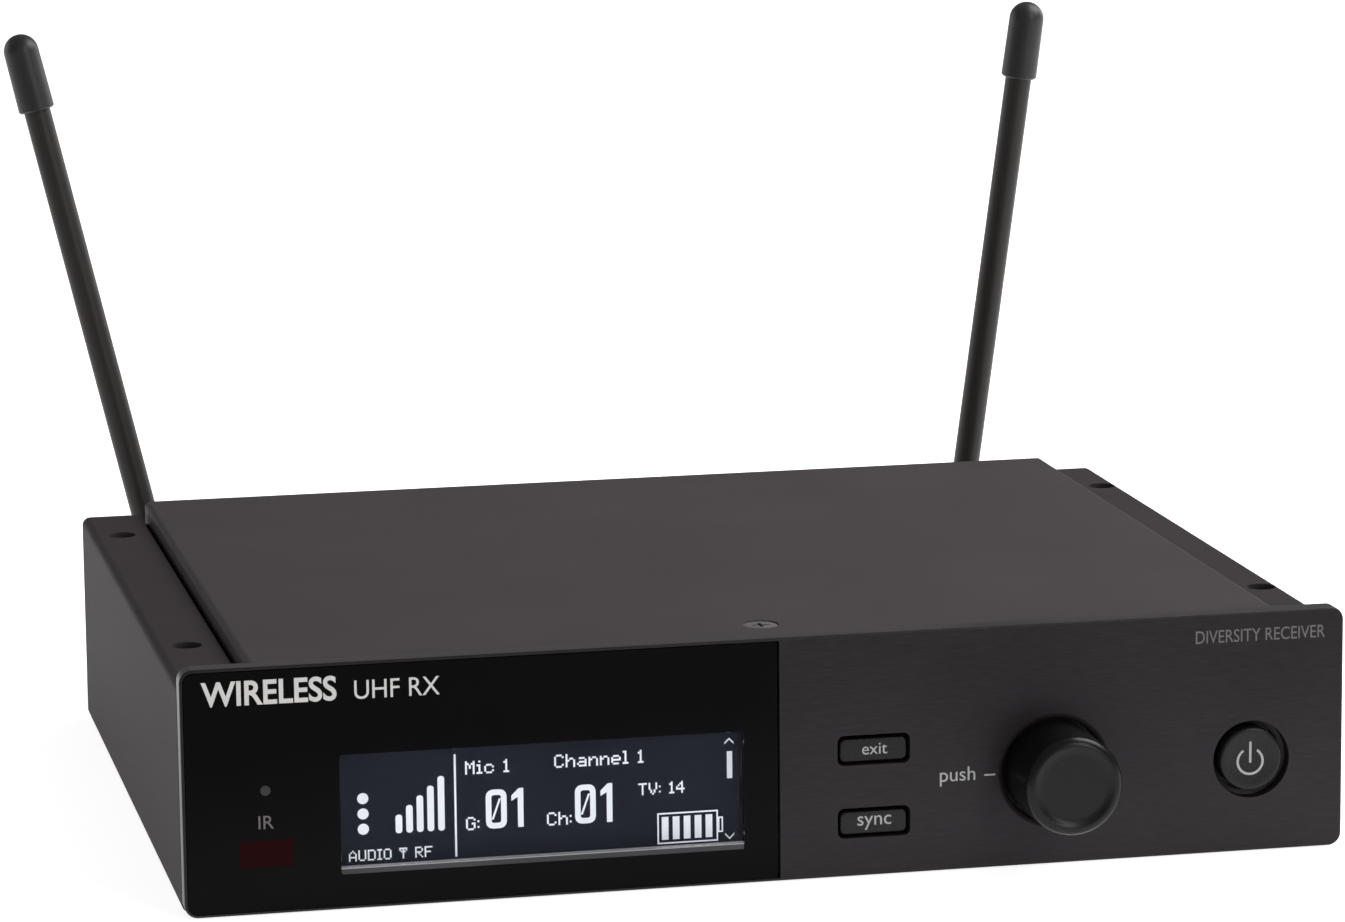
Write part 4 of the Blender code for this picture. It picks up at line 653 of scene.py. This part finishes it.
def make_button(name):
    """Key with a softly rounded face, the flange that keeps it in the panel and the stub behind it."""
    centre = BUTTONS[name]
    low, high = box(name + "_button")
    outline = window((centre[0], centre[1] - KEY_DROP), KEY_SIZE, BUTTON_CORNER)
    flange_front = PANEL_BACK + 0.3
    key = start_piece(name + "_key_cap", shape(add_prism, outline, FACE + KEY_INSET, flange_front + 0.5))
    soften(key, KEY_EDGE, 4)
    join(key, shape(add_prism, rounded_rectangle((low.x, low.z), (high.x, high.z), 1.0), flange_front,
                    flange_front + 1.0))
    join(key, shape(add_prism, circle(centre, 1.5, 32), flange_front + 0.5, high.y))
    add_piece(key, BUTTON_BLACK, [name + "_button"], name + "_key")


def make_power_button():
    flange_front = PANEL_BACK + 0.3
    profile = [(0.0, FACE + 0.3), (POWER_RADIUS - 2.4, FACE + 0.22), (POWER_RADIUS - 1.2, FACE + 0.08)]
    profile += arc((POWER_RADIUS - 0.55, FACE + 0.55), 0.55, 270.0, 360.0, 6)
    flange = POWER_RADIUS + 1.2
    profile += [(POWER_RADIUS, flange_front), (flange, flange_front), (flange, flange_front + 1.0)]
    end = box("power_button")[1].y
    profile += [(1.5, flange_front + 1.0), (1.5, end), (0.0, end)]
    add_piece(start_piece("power_key_cap", shape(add_turned, profile, POWER)), BUTTON_BLACK,
              ["power_button"], "power_key")

    centre = (POWER[0] - 0.12, POWER[1] - 0.4)
    arc_radius, half_line, opening = 2.2, 0.2, 33.0
    mesh = bmesh.new()
    outline = arc(centre, arc_radius + half_line, 90.0 + opening, 450.0 - opening, 40)
    outline += arc(centre, arc_radius - half_line, 450.0 - opening, 90.0 + opening, 40)
    add_prism(mesh, outline, FACE + 0.16, FACE + 0.4)
    bar = rounded_rectangle((centre[0] - half_line, centre[1] - 0.25),
                            (centre[0] + half_line, centre[1] + 3.4), 0.1, 3)
    add_prism(mesh, bar, FACE + 0.1, FACE + 0.4)
    add_piece(start_piece("power_symbol", mesh), INK_SILVER, body="power_key")


def make_knob():
    """Dished knob with a full round rim, slightly tapered, hollow behind for the nut."""
    rim, dish = KNOB_RIM, KNOB_FRONT_RADIUS - KNOB_RIM
    profile = [(0.0, KNOB_FRONT + KNOB_DISH), (dish - 1.6, KNOB_FRONT + KNOB_DISH)]
    profile += [(dish - 0.9, KNOB_FRONT + 0.36), (dish - 0.4, KNOB_FRONT + 0.17)]
    profile += [(radius, y) for radius, y in arc((dish, KNOB_FRONT + rim), rim, 270.0, 360.0, 12)]
    inner, bore = KNOB_RADIUS - 1.5, SHAFT_RADIUS + 0.12
    hollow = BUSH_FRONT - 1.0
    profile += [(KNOB_RADIUS, KNOB_BACK - 0.35), (KNOB_RADIUS - 0.1, KNOB_BACK - 0.1)]
    profile += [(KNOB_RADIUS - 0.35, KNOB_BACK), (inner, KNOB_BACK), (inner, hollow), (bore, hollow)]
    profile += [(bore, SHAFT_FRONT - 0.2), (0.0, SHAFT_FRONT - 0.2)]
    add_piece(start_piece("knob_cap", shape(add_turned, profile, KNOB, 128)), KNOB_BLACK,
              ["control_knob"], "knob")


# ---------------- printed lettering

def make_label(name, text, left, baseline, width, ink, body="housing", tall=1.0, weight=0.0, face=FACE):
    """Printed word that starts at left, stands on baseline and is width wide, a hair proud of its face."""
    curve = bpy.data.curves.new(name, "FONT")
    curve.body = text
    curve.offset = weight
    curve.resolution_u = 6
    holder = add_object(name, curve)
    bpy.context.view_layer.update()
    data = bpy.data.meshes.new_from_object(holder.evaluated_get(bpy.context.evaluated_depsgraph_get()))
    bpy.data.objects.remove(holder)
    start = min(vert.co.x for vert in data.vertices)
    scale = width / (max(vert.co.x for vert in data.vertices) - start)
    mesh = bmesh.new()
    mesh.from_mesh(data)
    thickness = 0.02
    for vert in mesh.verts:
        vert.co = (left + (vert.co.x - start) * scale, face, baseline + vert.co.y * scale * tall)
    grown = bmesh.ops.extrude_face_region(mesh, geom=list(mesh.faces))
    moved = [item for item in grown["geom"] if isinstance(item, bmesh.types.BMVert)]
    bmesh.ops.translate(mesh, verts=moved, vec=(0.0, -thickness, 0.0))
    bmesh.ops.remove_doubles(mesh, verts=mesh.verts, dist=0.0005)
    add_piece(start_piece(name, mesh), ink, body=body)


def make_labels():
    make_label("label_type", "WIRELESS", -95.0, 35.2, 22.1, INK_WHITE, tall=1.1, weight=0.022)
    make_label("label_band", "UHF RX", -70.0, 35.1, 14.05, INK_WHITE, tall=1.1)
    make_label("label_receiver", "DIVERSITY RECEIVER", 72.5, 36.3, 22.7, INK_GREY, tall=1.25)
    make_label("label_infrared", "IR", -86.15, 14.33, 2.5, INK_GREY)
    make_label("label_push", "push", 28.15, 15.25, 6.1, INK_SILVER)
    key_face = FACE + KEY_INSET
    make_label("label_exit", "exit", 14.95, 20.6, 4.3, INK_SILVER, "exit_key", face=key_face)
    make_label("label_sync", "sync", 14.1, 8.5, 5.8, INK_SILVER, "sync_key", face=key_face)
    add_piece(start_piece("label_dash", shape(add_box, (35.8, FACE - 0.02, 15.82), (37.7, FACE, 16.12))),
              INK_SILVER)


# ---------------- display

PITCH = 0.29  # one display pixel
GLYPHS = {
    "A": "00100 01010 10001 10001 11111 10001 10001",
    "U": "10001 10001 10001 10001 10001 10001 01110",
    "D": "11110 10001 10001 10001 10001 10001 11110",
    "I": "111 010 010 010 010 010 111",
    "O": "01110 10001 10001 10001 10001 10001 01110",
    "Y": "11111 10101 01110 00100 00100 00100 00100",
    "R": "11110 10001 10001 11110 10100 10010 10001",
    "F": "11111 10000 10000 11110 10000 10000 10000",
    "G": "01110 10001 10000 10011 10001 10001 01110",
    "C": "01110 10001 10000 10000 10000 10001 01110",
    "h": "10000 10000 10110 11001 10001 10001 10001",
    "T": "11111 00100 00100 00100 00100 00100 00100",
    "V": "10001 10001 10001 10001 01010 01010 00100",
    "M": "10001 11011 10101 10101 10001 10001 10001",
    "i": "010 000 110 010 010 010 111",
    "c": "00000 00000 01110 10001 10000 10001 01110",
    "n": "00000 00000 10110 11001 10001 10001 10001",
    "e": "00000 00000 01110 10001 11111 10000 01110",
    "s": "00000 00000 01111 10000 01110 00001 11110",
    "a": "00000 00000 01110 00001 01111 10001 01111",
    "l": "110 010 010 010 010 010 111",
    "0": "01110 10001 10011 10101 11001 10001 01110",
    "1": "010 110 010 010 010 010 111",
    "4": "00010 00110 01010 10010 11111 00010 00010",
    ":": "0 0 1 0 0 1 0",
    " ": "000 000 000 000 000 000 000",
}
SCREEN_FRONT = box("lcd_panel")[0].y


def add_pixels(mesh, text, left, low, pitch=PITCH):
    """Dot-matrix text, each run of lit pixels in a row as one flat bar."""
    x = left
    for letter in text:
        rows = GLYPHS[letter].split()
        for row, cells in enumerate(rows):
            z = low + (len(rows) - 1 - row) * pitch
            column = 0
            while column < len(cells):
                run = len(cells[column:]) - len(cells[column:].lstrip("1"))
                if run:
                    add_screen_box(mesh, (x + column * pitch, z), (x + (column + run) * pitch, z + pitch))
                column += max(run, 1)
        x += (len(rows[0]) + 1) * pitch


def add_screen_box(mesh, low, high):
    add_box(mesh, (low[0], SCREEN_FRONT - 0.03, low[1]), (high[0], SCREEN_FRONT, high[1]))


def add_screen_shape(mesh, outline):
    add_prism(mesh, outline, SCREEN_FRONT - 0.03, SCREEN_FRONT)


def add_frame(mesh, low, high, line):
    """Hollow rectangle as four bars that meet without overlapping."""
    add_screen_box(mesh, low, (high[0], low[1] + line))
    add_screen_box(mesh, (low[0], high[1] - line), high)
    add_screen_box(mesh, (low[0], low[1] + line), (low[0] + line, high[1] - line))
    add_screen_box(mesh, (high[0] - line, low[1] + line), (high[0], high[1] - line))


def add_big_number(mesh, left, low):
    """A slashed zero and a one, six and a half millimetres tall."""
    height, width, line = 6.6, 3.5, 0.95
    corner = 1.15
    outline = rounded_rectangle((left, low), (left + width, low + height), corner, 3)
    hole = rounded_rectangle((left + line, low + line), (left + width - line, low + height - line), 0.35, 2)
    add_ring(mesh, outline, hole)
    slash = [(left + line, low + 1.55), (left + line + 0.35, low + 1.55),
             (left + width - line, low + height - 1.55), (left + width - line - 0.35, low + height - 1.55)]
    add_screen_shape(mesh, slash)
    stem = left + 6.3
    add_screen_shape(mesh, [(stem - line, low), (stem, low), (stem, low + height),
                            (stem - line * 0.8, low + height), (stem - 2.0, low + height - 1.2),
                            (stem - 2.0, low + height - 2.1), (stem - line, low + height - 1.5)])


def add_ring(mesh, outer, inner):
    """Flat ring between two outlines, bridged as a strip of small prisms along their corners."""
    count = len(outer)
    step = len(inner) / count
    for index in range(count):
        after = (index + 1) % count
        near, far = inner[int(index * step)], inner[int(after * step) % len(inner)]
        corners = [outer[index], outer[after], far]
        if near != far:
            corners.append(near)
        add_screen_shape(mesh, corners)


def make_screen():
    """Dark panel with its lit graphics, a hair proud of it."""
    add_piece(start_block("screen_panel", "lcd_panel", 0.1, 2)[0], SCREEN, ["lcd_panel"])

    meters = bmesh.new()
    for z in (12.2, 14.78, 17.36):
        add_screen_shape(meters, circle((-68.36, z), 0.93, 24))
    for index in range(5):
        x = -62.45 + index * 1.77
        top = 14.3 + index * 1.52
        add_screen_shape(meters, rounded_rectangle((x - 0.56, 11.15), (x + 0.56, top), 0.5, 4))
    add_screen_box(meters, (-53.17, 6.6), (-52.83, 23.9))
    words = bmesh.new()
    add_pixels(words, "AUDIO Y RF", -70.85, 6.85, 0.262)
    add_pixels(words, "Mic 1", -51.3, 20.35, 0.32)
    add_pixels(words, "Channel 1", -36.4, 20.55, 0.32)
    add_pixels(words, "TV: 14", -22.3, 15.05, 0.29)
    add_pixels(words, "G:", -51.3, 10.9, 0.32)
    add_pixels(words, "Ch:", -37.75, 10.85, 0.32)
    numbers = bmesh.new()
    add_big_number(numbers, -47.95, 10.95)
    add_big_number(numbers, -33.0, 10.85)
    battery = bmesh.new()
    add_frame(battery, (-19.15, 6.5), (-8.85, 11.8), 0.26)
    add_frame(battery, (-8.85, 7.95), (-8.0, 10.6), 0.24)
    for index in range(5):
        x = -18.4 + index * 1.86
        add_screen_box(battery, (x, 7.2), (x + 1.15, 11.1))
    scroll = bmesh.new()
    add_screen_box(scroll, (-7.25, 17.05), (-6.35, 21.65))
    for z, tip in ((23.2, 23.95), (7.4, 6.6)):
        rise = tip - z
        line = 0.34 if rise > 0 else -0.34
        add_screen_shape(scroll, [(-7.65, z), (-6.87, tip), (-6.1, z), (-6.1, z - line),
                                  (-6.87, tip - line), (-7.65, z - line)])
    for name, mesh in (("screen_meters", meters), ("screen_words", words), ("screen_numbers", numbers),
                       ("screen_battery", battery), ("screen_scroll", scroll)):
        add_piece(start_piece(name, mesh), SCREEN_LIT)

    left, right = DISPLAY_LOW[0] + 0.05, DISPLAY_HIGH[0] - 0.05
    front, back = FACE + 0.12, FACE + LENS_THICKNESS
    line_low = RIM_TOP - RIM_LINE
    add_piece(start_piece("screen_rim", shape(add_box, (left, front, DISPLAY_LOW[1] + 0.05),
                                              (right, back, line_low - 0.01))), SCREEN_RIM)
    add_piece(start_piece("screen_line", shape(add_box, (left, front, line_low), (right, back, RIM_TOP))),
              SCREEN_LINE)


# ---------------- rear connectors

def make_antenna_jack(side):
    """Bulkhead bayonet jack: threaded body, round flange, barrel with two lugs and a contact tube."""
    name = "antenna_jack_" + side
    low, high = box(name)
    centre = middle(name)
    end, flange = high.y, REAR_FACE + 0.05
    profile = [(0.0, low.y), (4.2, low.y), (4.2, low.y + 6.0), (6.2, low.y + 6.0), (6.2, flange),
               (7.4, flange), (7.6, flange + 0.2), (7.6, flange + 1.6), (7.4, flange + 1.8),
               (4.85, flange + 1.8), (4.85, end - 0.2), (4.7, end), (4.1, end), (4.1, end - 8.5),
               (1.2, end - 8.5), (1.2, end - 3.0), (0.0, end - 3.0)]
    jack = start_piece("bayonet_jack_" + side, shape(add_turned, profile, centre))
    lugs = bmesh.new()
    for sign in (-1.0, 1.0):
        inner, outer = sorted((centre[0] + sign * 4.4, centre[0] + sign * 5.6))
        add_prism(lugs, circle((end - 4.5, centre[1]), 0.95, 24), inner, outer, "X")
    join(jack, lugs)
    add_piece(jack, NICKEL, [name])


def make_xlr():
    """Male three-pin output: flange with its tube, insulating insert and three pins."""
    low, high = box("xlr_shell")
    face, mouth = REAR_FACE + 0.05, high.y
    shell = start_piece("output_shell", shape(add_prism, window(XLR, XLR_FLANGE, 2.0), face, mouth))
    soften(shell, 0.25, 3)
    join(shell, shape(add_turned, [(0.0, low.y), (XLR_TUBE, low.y), (XLR_TUBE, face + 0.5),
                                   (0.0, face + 0.5)], XLR))
    cut(shell, shape(add_turned, [(0.0, low.y - 1.0), (XLR_BORE, low.y - 1.0), (XLR_BORE, mouth - 0.6),
                                  (XLR_BORE + 0.6, mouth), (XLR_BORE + 1.6, mouth + 1.0),
                                  (0.0, mouth + 1.0)], XLR))
    screws = bmesh.new()
    for name in ("xlr_screw_lower", "xlr_screw_upper"):
        add_prism(screws, circle(middle(name), 1.7, 32), face - 1.0, mouth + 1.0)
    cut(shell, screws)
    add_piece(shell, BLACK_STEEL, ["xlr_shell"])

    low, high = box("xlr_insert")
    radius = XLR_BORE - 0.05
    base = start_piece("output_insert", shape(add_turned,
                                              [(0.0, low.y), (radius, low.y), (radius, high.y - 0.3),
                                               (radius - 0.3, high.y), (0.0, high.y)], XLR))
    sockets = bmesh.new()
    for number in (1, 2, 3):
        name = f"xlr_pin_{number}"
        spot = middle(name)
        add_prism(sockets, circle(spot, XLR_PIN_RADIUS + 0.1, 32), low.y - 1.0, high.y + 1.0)
        start, tip = box(name)[0].y, box(name)[1].y
        profile = [(0.0, start), (XLR_PIN_RADIUS, start), (XLR_PIN_RADIUS, tip - 1.2)]
        profile += [(0.25 + radius, y) for radius, y in arc((0.0, tip - 1.2), 0.95, 0.0, 80.0, 6)]
        profile += [(0.2, tip), (0.0, tip)]
        add_piece(start_piece(f"output_pin_{number}", shape(add_turned, profile, spot, 32)), NICKEL,
                  [name])
    cut(base, sockets)
    add_piece(base, PLASTIC, ["xlr_insert"])


def make_phone_jack():
    """Quarter-inch output: body inside the housing, threaded bush through the rear panel, nut outside."""
    jack, low, high = start_block("phone_socket", "phone_jack", 0.4, 3)
    cut(jack, shape(add_prism, circle(PHONE, PHONE_WELL), low.y + SHEET, high.y + SHEET))
    add_piece(jack, PLASTIC, ["phone_jack"])

    low, high = box("phone_jack_bush")
    profile = [(PHONE_BORE, low.y), (PHONE_BUSH, low.y), (PHONE_BUSH, high.y - 1.6)]
    for ridge in range(4):
        y = high.y - 1.6 + ridge * 0.35
        profile += [(PHONE_BUSH - 0.18, y + 0.17), (PHONE_BUSH, y + 0.35)]
    profile += [(PHONE_BUSH - 0.2, high.y), (PHONE_BORE + 0.5, high.y), (PHONE_BORE, high.y - 0.5)]
    add_piece(start_piece("phone_socket_bush", shape(add_turned, profile, PHONE)), NICKEL,
              ["phone_jack_bush"])

    low, high = box("phone_jack_nut")
    hexagon = start_piece("phone_socket_nut",
                          shape(add_prism, circle(PHONE, PHONE_NUT, 6), REAR_FACE + 0.05, high.y))
    soften(hexagon, 0.25, 3)
    cut(hexagon, shape(add_prism, circle(PHONE, PHONE_BUSH + 0.05), low.y - 1.0, high.y + 1.0))
    add_piece(hexagon, NICKEL, ["phone_jack_nut"])


def make_ethernet_jack():
    """Shielded modular socket with a latch slot and eight contacts."""
    jack, low, high = start_block("network_socket", "ethernet_jack", 0.2, 2)
    x, z = ETHERNET
    half, top, bottom, latch_half, latch_low = 5.9, z + 3.8, z - 3.2, 3.0, z - 5.2
    opening = [(x - half, top), (x - half, bottom), (x - latch_half, bottom), (x - latch_half, latch_low),
               (x + latch_half, latch_low), (x + latch_half, bottom), (x + half, bottom), (x + half, top)]
    cut(jack, shape(add_prism, opening, high.y - 12.5, high.y + 1.0))
    add_piece(jack, NICKEL, ["ethernet_jack"])
    contacts = bmesh.new()
    for index in range(8):
        left = x - 4.45 + index * 1.15
        add_box(contacts, (left, high.y - 12.45, top - 0.55), (left + 0.5, high.y - 3.0, top - 0.05))
    add_piece(start_piece("network_contacts", contacts), GOLD)


def make_dc_jack():
    """Power inlet: block with a ring-shaped recess, which leaves the centre pin standing."""
    jack, low, high = start_block("power_inlet", "dc_jack", 0.3, 3)
    cut(jack, shape(add_turned, [(0.0, high.y - 1.5), (1.0, high.y - 1.5), (1.0, high.y - 10.0),
                                 (3.0, high.y - 10.0), (3.0, high.y - 0.3), (3.3, high.y),
                                 (4.3, high.y + 1.0), (0.0, high.y + 1.0)], DC_INLET))
    add_piece(jack, PLASTIC, ["dc_jack"])


def make_level_switch():
    """Slider of the level switch, with grip ridges, in the slot of its body."""
    slider, low, high = start_block("level_slider_cap", "level_switch_slider", 0.15, 2)
    ridges = bmesh.new()
    for index in range(3):
        x = low.x + 0.65 + index * 0.8
        add_box(ridges, (x, high.y - 0.3, low.z - 1.0), (x + 0.35, high.y + 1.0, high.z + 1.0))
    cut(slider, ridges)
    add_piece(slider, PLASTIC, ["level_switch_slider"], "level_slider")


# ---------------- antennas

def add_turned_upright(mesh, profile, steps=ROUND):
    """Spin a profile of (radius, z) points about Z."""
    add_turned(mesh, profile, steps=steps)
    bmesh.ops.transform(mesh, matrix=Matrix.Rotation(math.pi / 2, 4, "X"), verts=mesh.verts)


def make_antenna(side):
    """Whip antenna: knurled bayonet collar, base with a fork, hinge pin, rod and end cap."""
    fold = JOINTS["antenna_fold_" + side]
    pivot = Vector(fold["pos_m"]) / MM
    lean = math.atan2(fold["axis"][2], -fold["axis"][0])
    swivel = Matrix.Translation((pivot.x, REAR, pivot.z)) @ Matrix.Rotation(lean, 4, "Y")
    hinge = swivel @ Matrix.Translation((0.0, PIVOT_OUT, 0.0))

    sleeve_out, sleeve_in = 3.75, 2.7
    profile = [(sleeve_in, 5.0), (sleeve_out, 5.0), (sleeve_out, BARREL_END + 0.4), (5.2, BARREL_END + 0.4),
               (5.2, COLLAR_END + 0.2), (5.9, COLLAR_END + 0.2), (BASE_RADIUS, COLLAR_END + 0.5),
               (BASE_RADIUS, BASE_END - 1.2)]
    profile += arc((BASE_RADIUS - 0.9, BASE_END - 0.9), 0.9, 0.0, 90.0, 5)
    profile.append((sleeve_in, BASE_END))
    base = start_piece("whip_base_" + side, shape(add_turned, profile))
    join(base, shape(add_prism, circle((0.0, 0.0), sleeve_in + 0.4, 40), 11.0, BASE_END - 0.2))
    half = FORK_WIDTH / 2
    reach = TONGUE_RADIUS + 0.4
    outline = [(BASE_END - 2.0, -reach)] + arc((PIVOT_OUT, 0.0), reach, 270.0, 450.0, 24)
    outline.append((BASE_END - 2.0, reach))
    fork = start_piece("fork", shape(add_prism, outline, -half, half, "X"))
    soften(fork, 0.5, 4)
    slot_half = TONGUE_WIDTH / 2 + 0.15
    cut(fork, shape(add_box, (-slot_half, PIVOT_OUT - TONGUE_RADIUS - 0.5, -12.0), (slot_half, 60.0, 12.0)))
    cut(fork, shape(add_prism, circle((PIVOT_OUT, 0.0), HINGE_PIN_RADIUS + 0.05, 32), -half - 1.0,
                    half + 1.0, "X"))
    join_piece(base, fork)
    add_piece(base, ANTENNA, ["antenna_base_" + side], "base_" + side, swivel)

    pin = bmesh.new()
    pin_half = half - 0.15
    profile = [(0.0, -pin_half), (HINGE_PIN_RADIUS - 0.25, -pin_half), (HINGE_PIN_RADIUS, -pin_half + 0.25),
               (HINGE_PIN_RADIUS, pin_half - 0.25), (HINGE_PIN_RADIUS - 0.25, pin_half), (0.0, pin_half)]
    add_turned(pin, profile, steps=32)
    across = hinge @ Matrix.Rotation(-math.pi / 2, 4, "Z")
    add_piece(start_piece("whip_pin_" + side, pin), NICKEL, ["antenna_pin_" + side],
              "base_" + side, across)

    make_collar(side, swivel)
    make_rod(side, hinge @ Matrix.Rotation(-math.radians(ANTENNA_TILT[side]), 4, "X"))


def join_piece(piece, other):
    """Join another finished piece onto a piece."""
    step = piece.modifiers.new("join", "BOOLEAN")
    step.operation = "UNION"
    step.object = other
    keep_result(piece)
    bpy.data.objects.remove(other)


def make_collar(side, swivel):
    """Bayonet collar: plain lips at its ends and a ribbed grip between them."""
    bore_front, bore_back = 6.0, 5.5
    step = BARREL_END + 0.9
    profile = [(bore_front, COLLAR_START), (6.8, COLLAR_START), (7.0, COLLAR_START + 0.25),
               (7.0, COLLAR_START + 1.6), (6.75, COLLAR_START + 1.9), (6.75, COLLAR_END - 2.0),
               (7.0, COLLAR_END - 1.8), (7.0, COLLAR_END - 0.4), (6.8, COLLAR_END), (bore_back, COLLAR_END),
               (bore_back, step), (bore_front, step)]
    collar = start_piece("whip_collar_" + side, shape(add_turned, profile, steps=COLLAR_RIBS * 2))
    ribs = bmesh.new()
    for index in range(COLLAR_RIBS):
        angle = 2.0 * math.pi * index / COLLAR_RIBS
        across = Vector((-math.sin(angle), math.cos(angle)))
        out = Vector((math.cos(angle), math.sin(angle)))
        corners = [out * 6.5 - across * 0.34, out * 6.5 + across * 0.34, out * COLLAR_RADIUS + across * 0.2,
                   out * COLLAR_RADIUS - across * 0.2]
        add_prism(ribs, [tuple(corner) for corner in corners], COLLAR_START + 2.1, COLLAR_END - 2.2)
    join(collar, ribs)
    add_piece(collar, NICKEL, ["antenna_collar_" + side], "collar_" + side, swivel)


def make_rod(side, hinge):
    """Rod with its tongue, and the soft end cap; drawn from the fold pivot."""
    cap_low = ANTENNA_HEIGHT - CAP_LENGTH
    profile = [(0.0, 3.4), (2.4, 3.4), (2.4, 5.4), (3.9, 6.0), (4.1, 6.3), (4.1, 7.6), (3.7, 8.4),
               (ROD_RADIUS + 0.3, 9.5), (ROD_RADIUS, 10.4), (ROD_RADIUS, cap_low + 2.0),
               (1.6, cap_low + 2.0), (1.6, cap_low + 9.0), (0.0, cap_low + 9.0)]
    rod = start_piece("whip_rod_" + side, shape(add_turned_upright, profile))
    half = TONGUE_WIDTH / 2
    tongue = start_piece("tongue", shape(add_prism, circle((0.0, 0.0), TONGUE_RADIUS, 56), -half, half, "X"))
    soften(tongue, 0.3, 3)
    join_piece(rod, tongue)
    cut(rod, shape(add_prism, circle((0.0, 0.0), HINGE_PIN_RADIUS + 0.08, 32), -half - 1.0, half + 1.0, "X"))
    add_piece(rod, ANTENNA, ["antenna_rod_" + side], "rod_" + side, hinge)

    inner, wide = 1.75, ROD_RADIUS + 0.1
    lip = cap_low + 2.1
    profile = [(0.0, cap_low + 9.2), (inner, cap_low + 9.2), (inner, lip), (wide, lip), (wide, cap_low),
               (CAP_RADIUS - 0.3, cap_low), (CAP_RADIUS, cap_low + 0.3), (CAP_RADIUS, cap_low + 0.9)]
    profile += arc((0.0, ANTENNA_HEIGHT - CAP_TOP_RADIUS), CAP_TOP_RADIUS, 0.0, 90.0, 14)[:-1]
    profile.append((0.0, ANTENNA_HEIGHT))
    add_piece(start_piece("whip_cap_" + side, shape(add_turned_upright, profile)), CAP_BLACK,
              ["antenna_cap_" + side], "rod_" + side, hinge)


# ---------------- CAD nodes that stay

def finish_inner_nodes():
    """Procedural materials for the pieces inside the housing, which keep their CAD shapes."""
    finishes = (
        (PLASTIC, "lcd_frame exit_switch sync_switch power_switch encoder_rotor"),
        (BOARD_GREEN, "front_board main_board"),
        (NICKEL, "encoder_body encoder_shaft encoder_nut radio_shield level_switch_body antenna_nut_left"),
        (NICKEL, "antenna_nut_right standoff_1 standoff_2 standoff_3 standoff_4"),
        (CABLE_GREY, "ribbon_cable"),
    )
    for material, names in finishes:
        for name in names.split():
            node = frame["nodes"][name]
            node.data.materials.clear()
            node.data.materials.append(material)


# ---------------- stage

CAMERA_PLACE = Vector((-0.19660, -0.92490, 0.23215))
CAMERA_FORWARD = Vector((0.203502, 0.962105, -0.181496))
CAMERA_ROLL = math.radians(-0.585)
CAMERA_LENS = 144.99
FLOOR_GLOW = 0.80
GLOW_DIRECTION = (0.252, 1.0, 0.0)
GLOW_EDGE = (-0.20, -0.108)


def make_camera():
    data = bpy.data.cameras.new("camera")
    data.lens = CAMERA_LENS
    data.sensor_width = 36.0
    camera = add_object("camera", data)
    camera.rotation_mode = "QUATERNION"
    camera.location = CAMERA_PLACE
    roll = Matrix.Rotation(CAMERA_ROLL, 3, "Z").to_quaternion()
    camera.rotation_quaternion = CAMERA_FORWARD.to_track_quat("-Z", "Y") @ roll
    bpy.context.scene.camera = camera


def make_floor():
    """White table that is lit from below behind an edge just in front of the unit."""
    mesh = bmesh.new()
    size = 6.0
    verts = [mesh.verts.new((x * size, y * size, -0.0002)) for x, y in ((-1, -1), (1, -1), (1, 1), (-1, 1))]
    mesh.faces.new(verts)
    data = bpy.data.meshes.new("floor")
    mesh.to_mesh(data)
    mesh.free()
    floor = add_object("floor", data)
    white = paint("floor_white", (0.80, 0.80, 0.80), 0.85, 40.0, shade=0.004, mottle=0.004, relief=0.0,
                  sockets=[("Emission Strength", FLOOR_GLOW)])
    tree = white.node_tree
    place = tree.nodes.new("ShaderNodeTexCoord")
    depth = tree.nodes.new("ShaderNodeVectorMath")
    depth.operation = "DOT_PRODUCT"
    depth.inputs[1].default_value = GLOW_DIRECTION
    link(tree, place, "Object", depth, 0)
    edge = tree.nodes.new("ShaderNodeMapRange")
    edge.inputs["From Min"].default_value, edge.inputs["From Max"].default_value = GLOW_EDGE
    link(tree, depth, "Value", edge, "Value")
    link(tree, edge, "Result", tree.nodes["Principled BSDF"], "Emission Color")
    floor.data.materials.append(white)


def make_light(name, place, aim, size, power):
    data = bpy.data.lights.new(name, "AREA")
    data.shape = "RECTANGLE"
    data.size, data.size_y = size
    data.energy = power
    light = add_object(name, data)
    light.location = place
    light.rotation_mode = "QUATERNION"
    light.rotation_quaternion = (Vector(aim) - Vector(place)).to_track_quat("-Z", "Y")


def make_studio():
    world = bpy.data.worlds.new("studio")
    world.use_nodes = True
    world.node_tree.nodes["Background"].inputs["Color"].default_value = (1.0, 1.0, 1.0, 1.0)
    world.node_tree.nodes["Background"].inputs["Strength"].default_value = 0.3
    scene = bpy.context.scene
    scene.world = world
    scene.view_settings.view_transform = "Standard"
    make_light("top_box", (0.5, 0.05, 0.62), (0.0, 0.02, 0.0), (0.6, 0.5), 6.2)
    make_light("right_box", (1.6, 1.0, 0.55), (0.0, 0.0, 0.03), (1.2, 0.7), 7.0)
    make_light("left_box", (-1.7, 1.4, 0.5), (0.0, 0.0, 0.03), (1.6, 1.0), 7.0)
    make_light("front_box", (0.88, -1.85, 0.88), (0.0, 0.0, 0.05), (0.45, 1.3), 12.5)


def main():
    for make in (make_studio, make_camera, make_floor, make_tray, make_cover, make_cover_screw,
                 make_rear_panel, make_front_panel, make_lens, make_screen):
        make()
    make_button("exit")
    make_button("sync")
    for make in (make_power_button, make_knob, make_labels, make_xlr, make_phone_jack,
                 make_ethernet_jack, make_dc_jack, make_level_switch):
        make()
    for name in ("cover_screw_rear_left", "cover_screw_rear_right"):
        make_pan_screw(name, REAR)
    for name in ("xlr_screw_lower", "xlr_screw_upper"):
        make_pan_screw(name, box("xlr_shell")[1].y)
    for side in ("left", "right"):
        make_antenna_jack(side)
        make_antenna(side)
    finish_inner_nodes()


main()
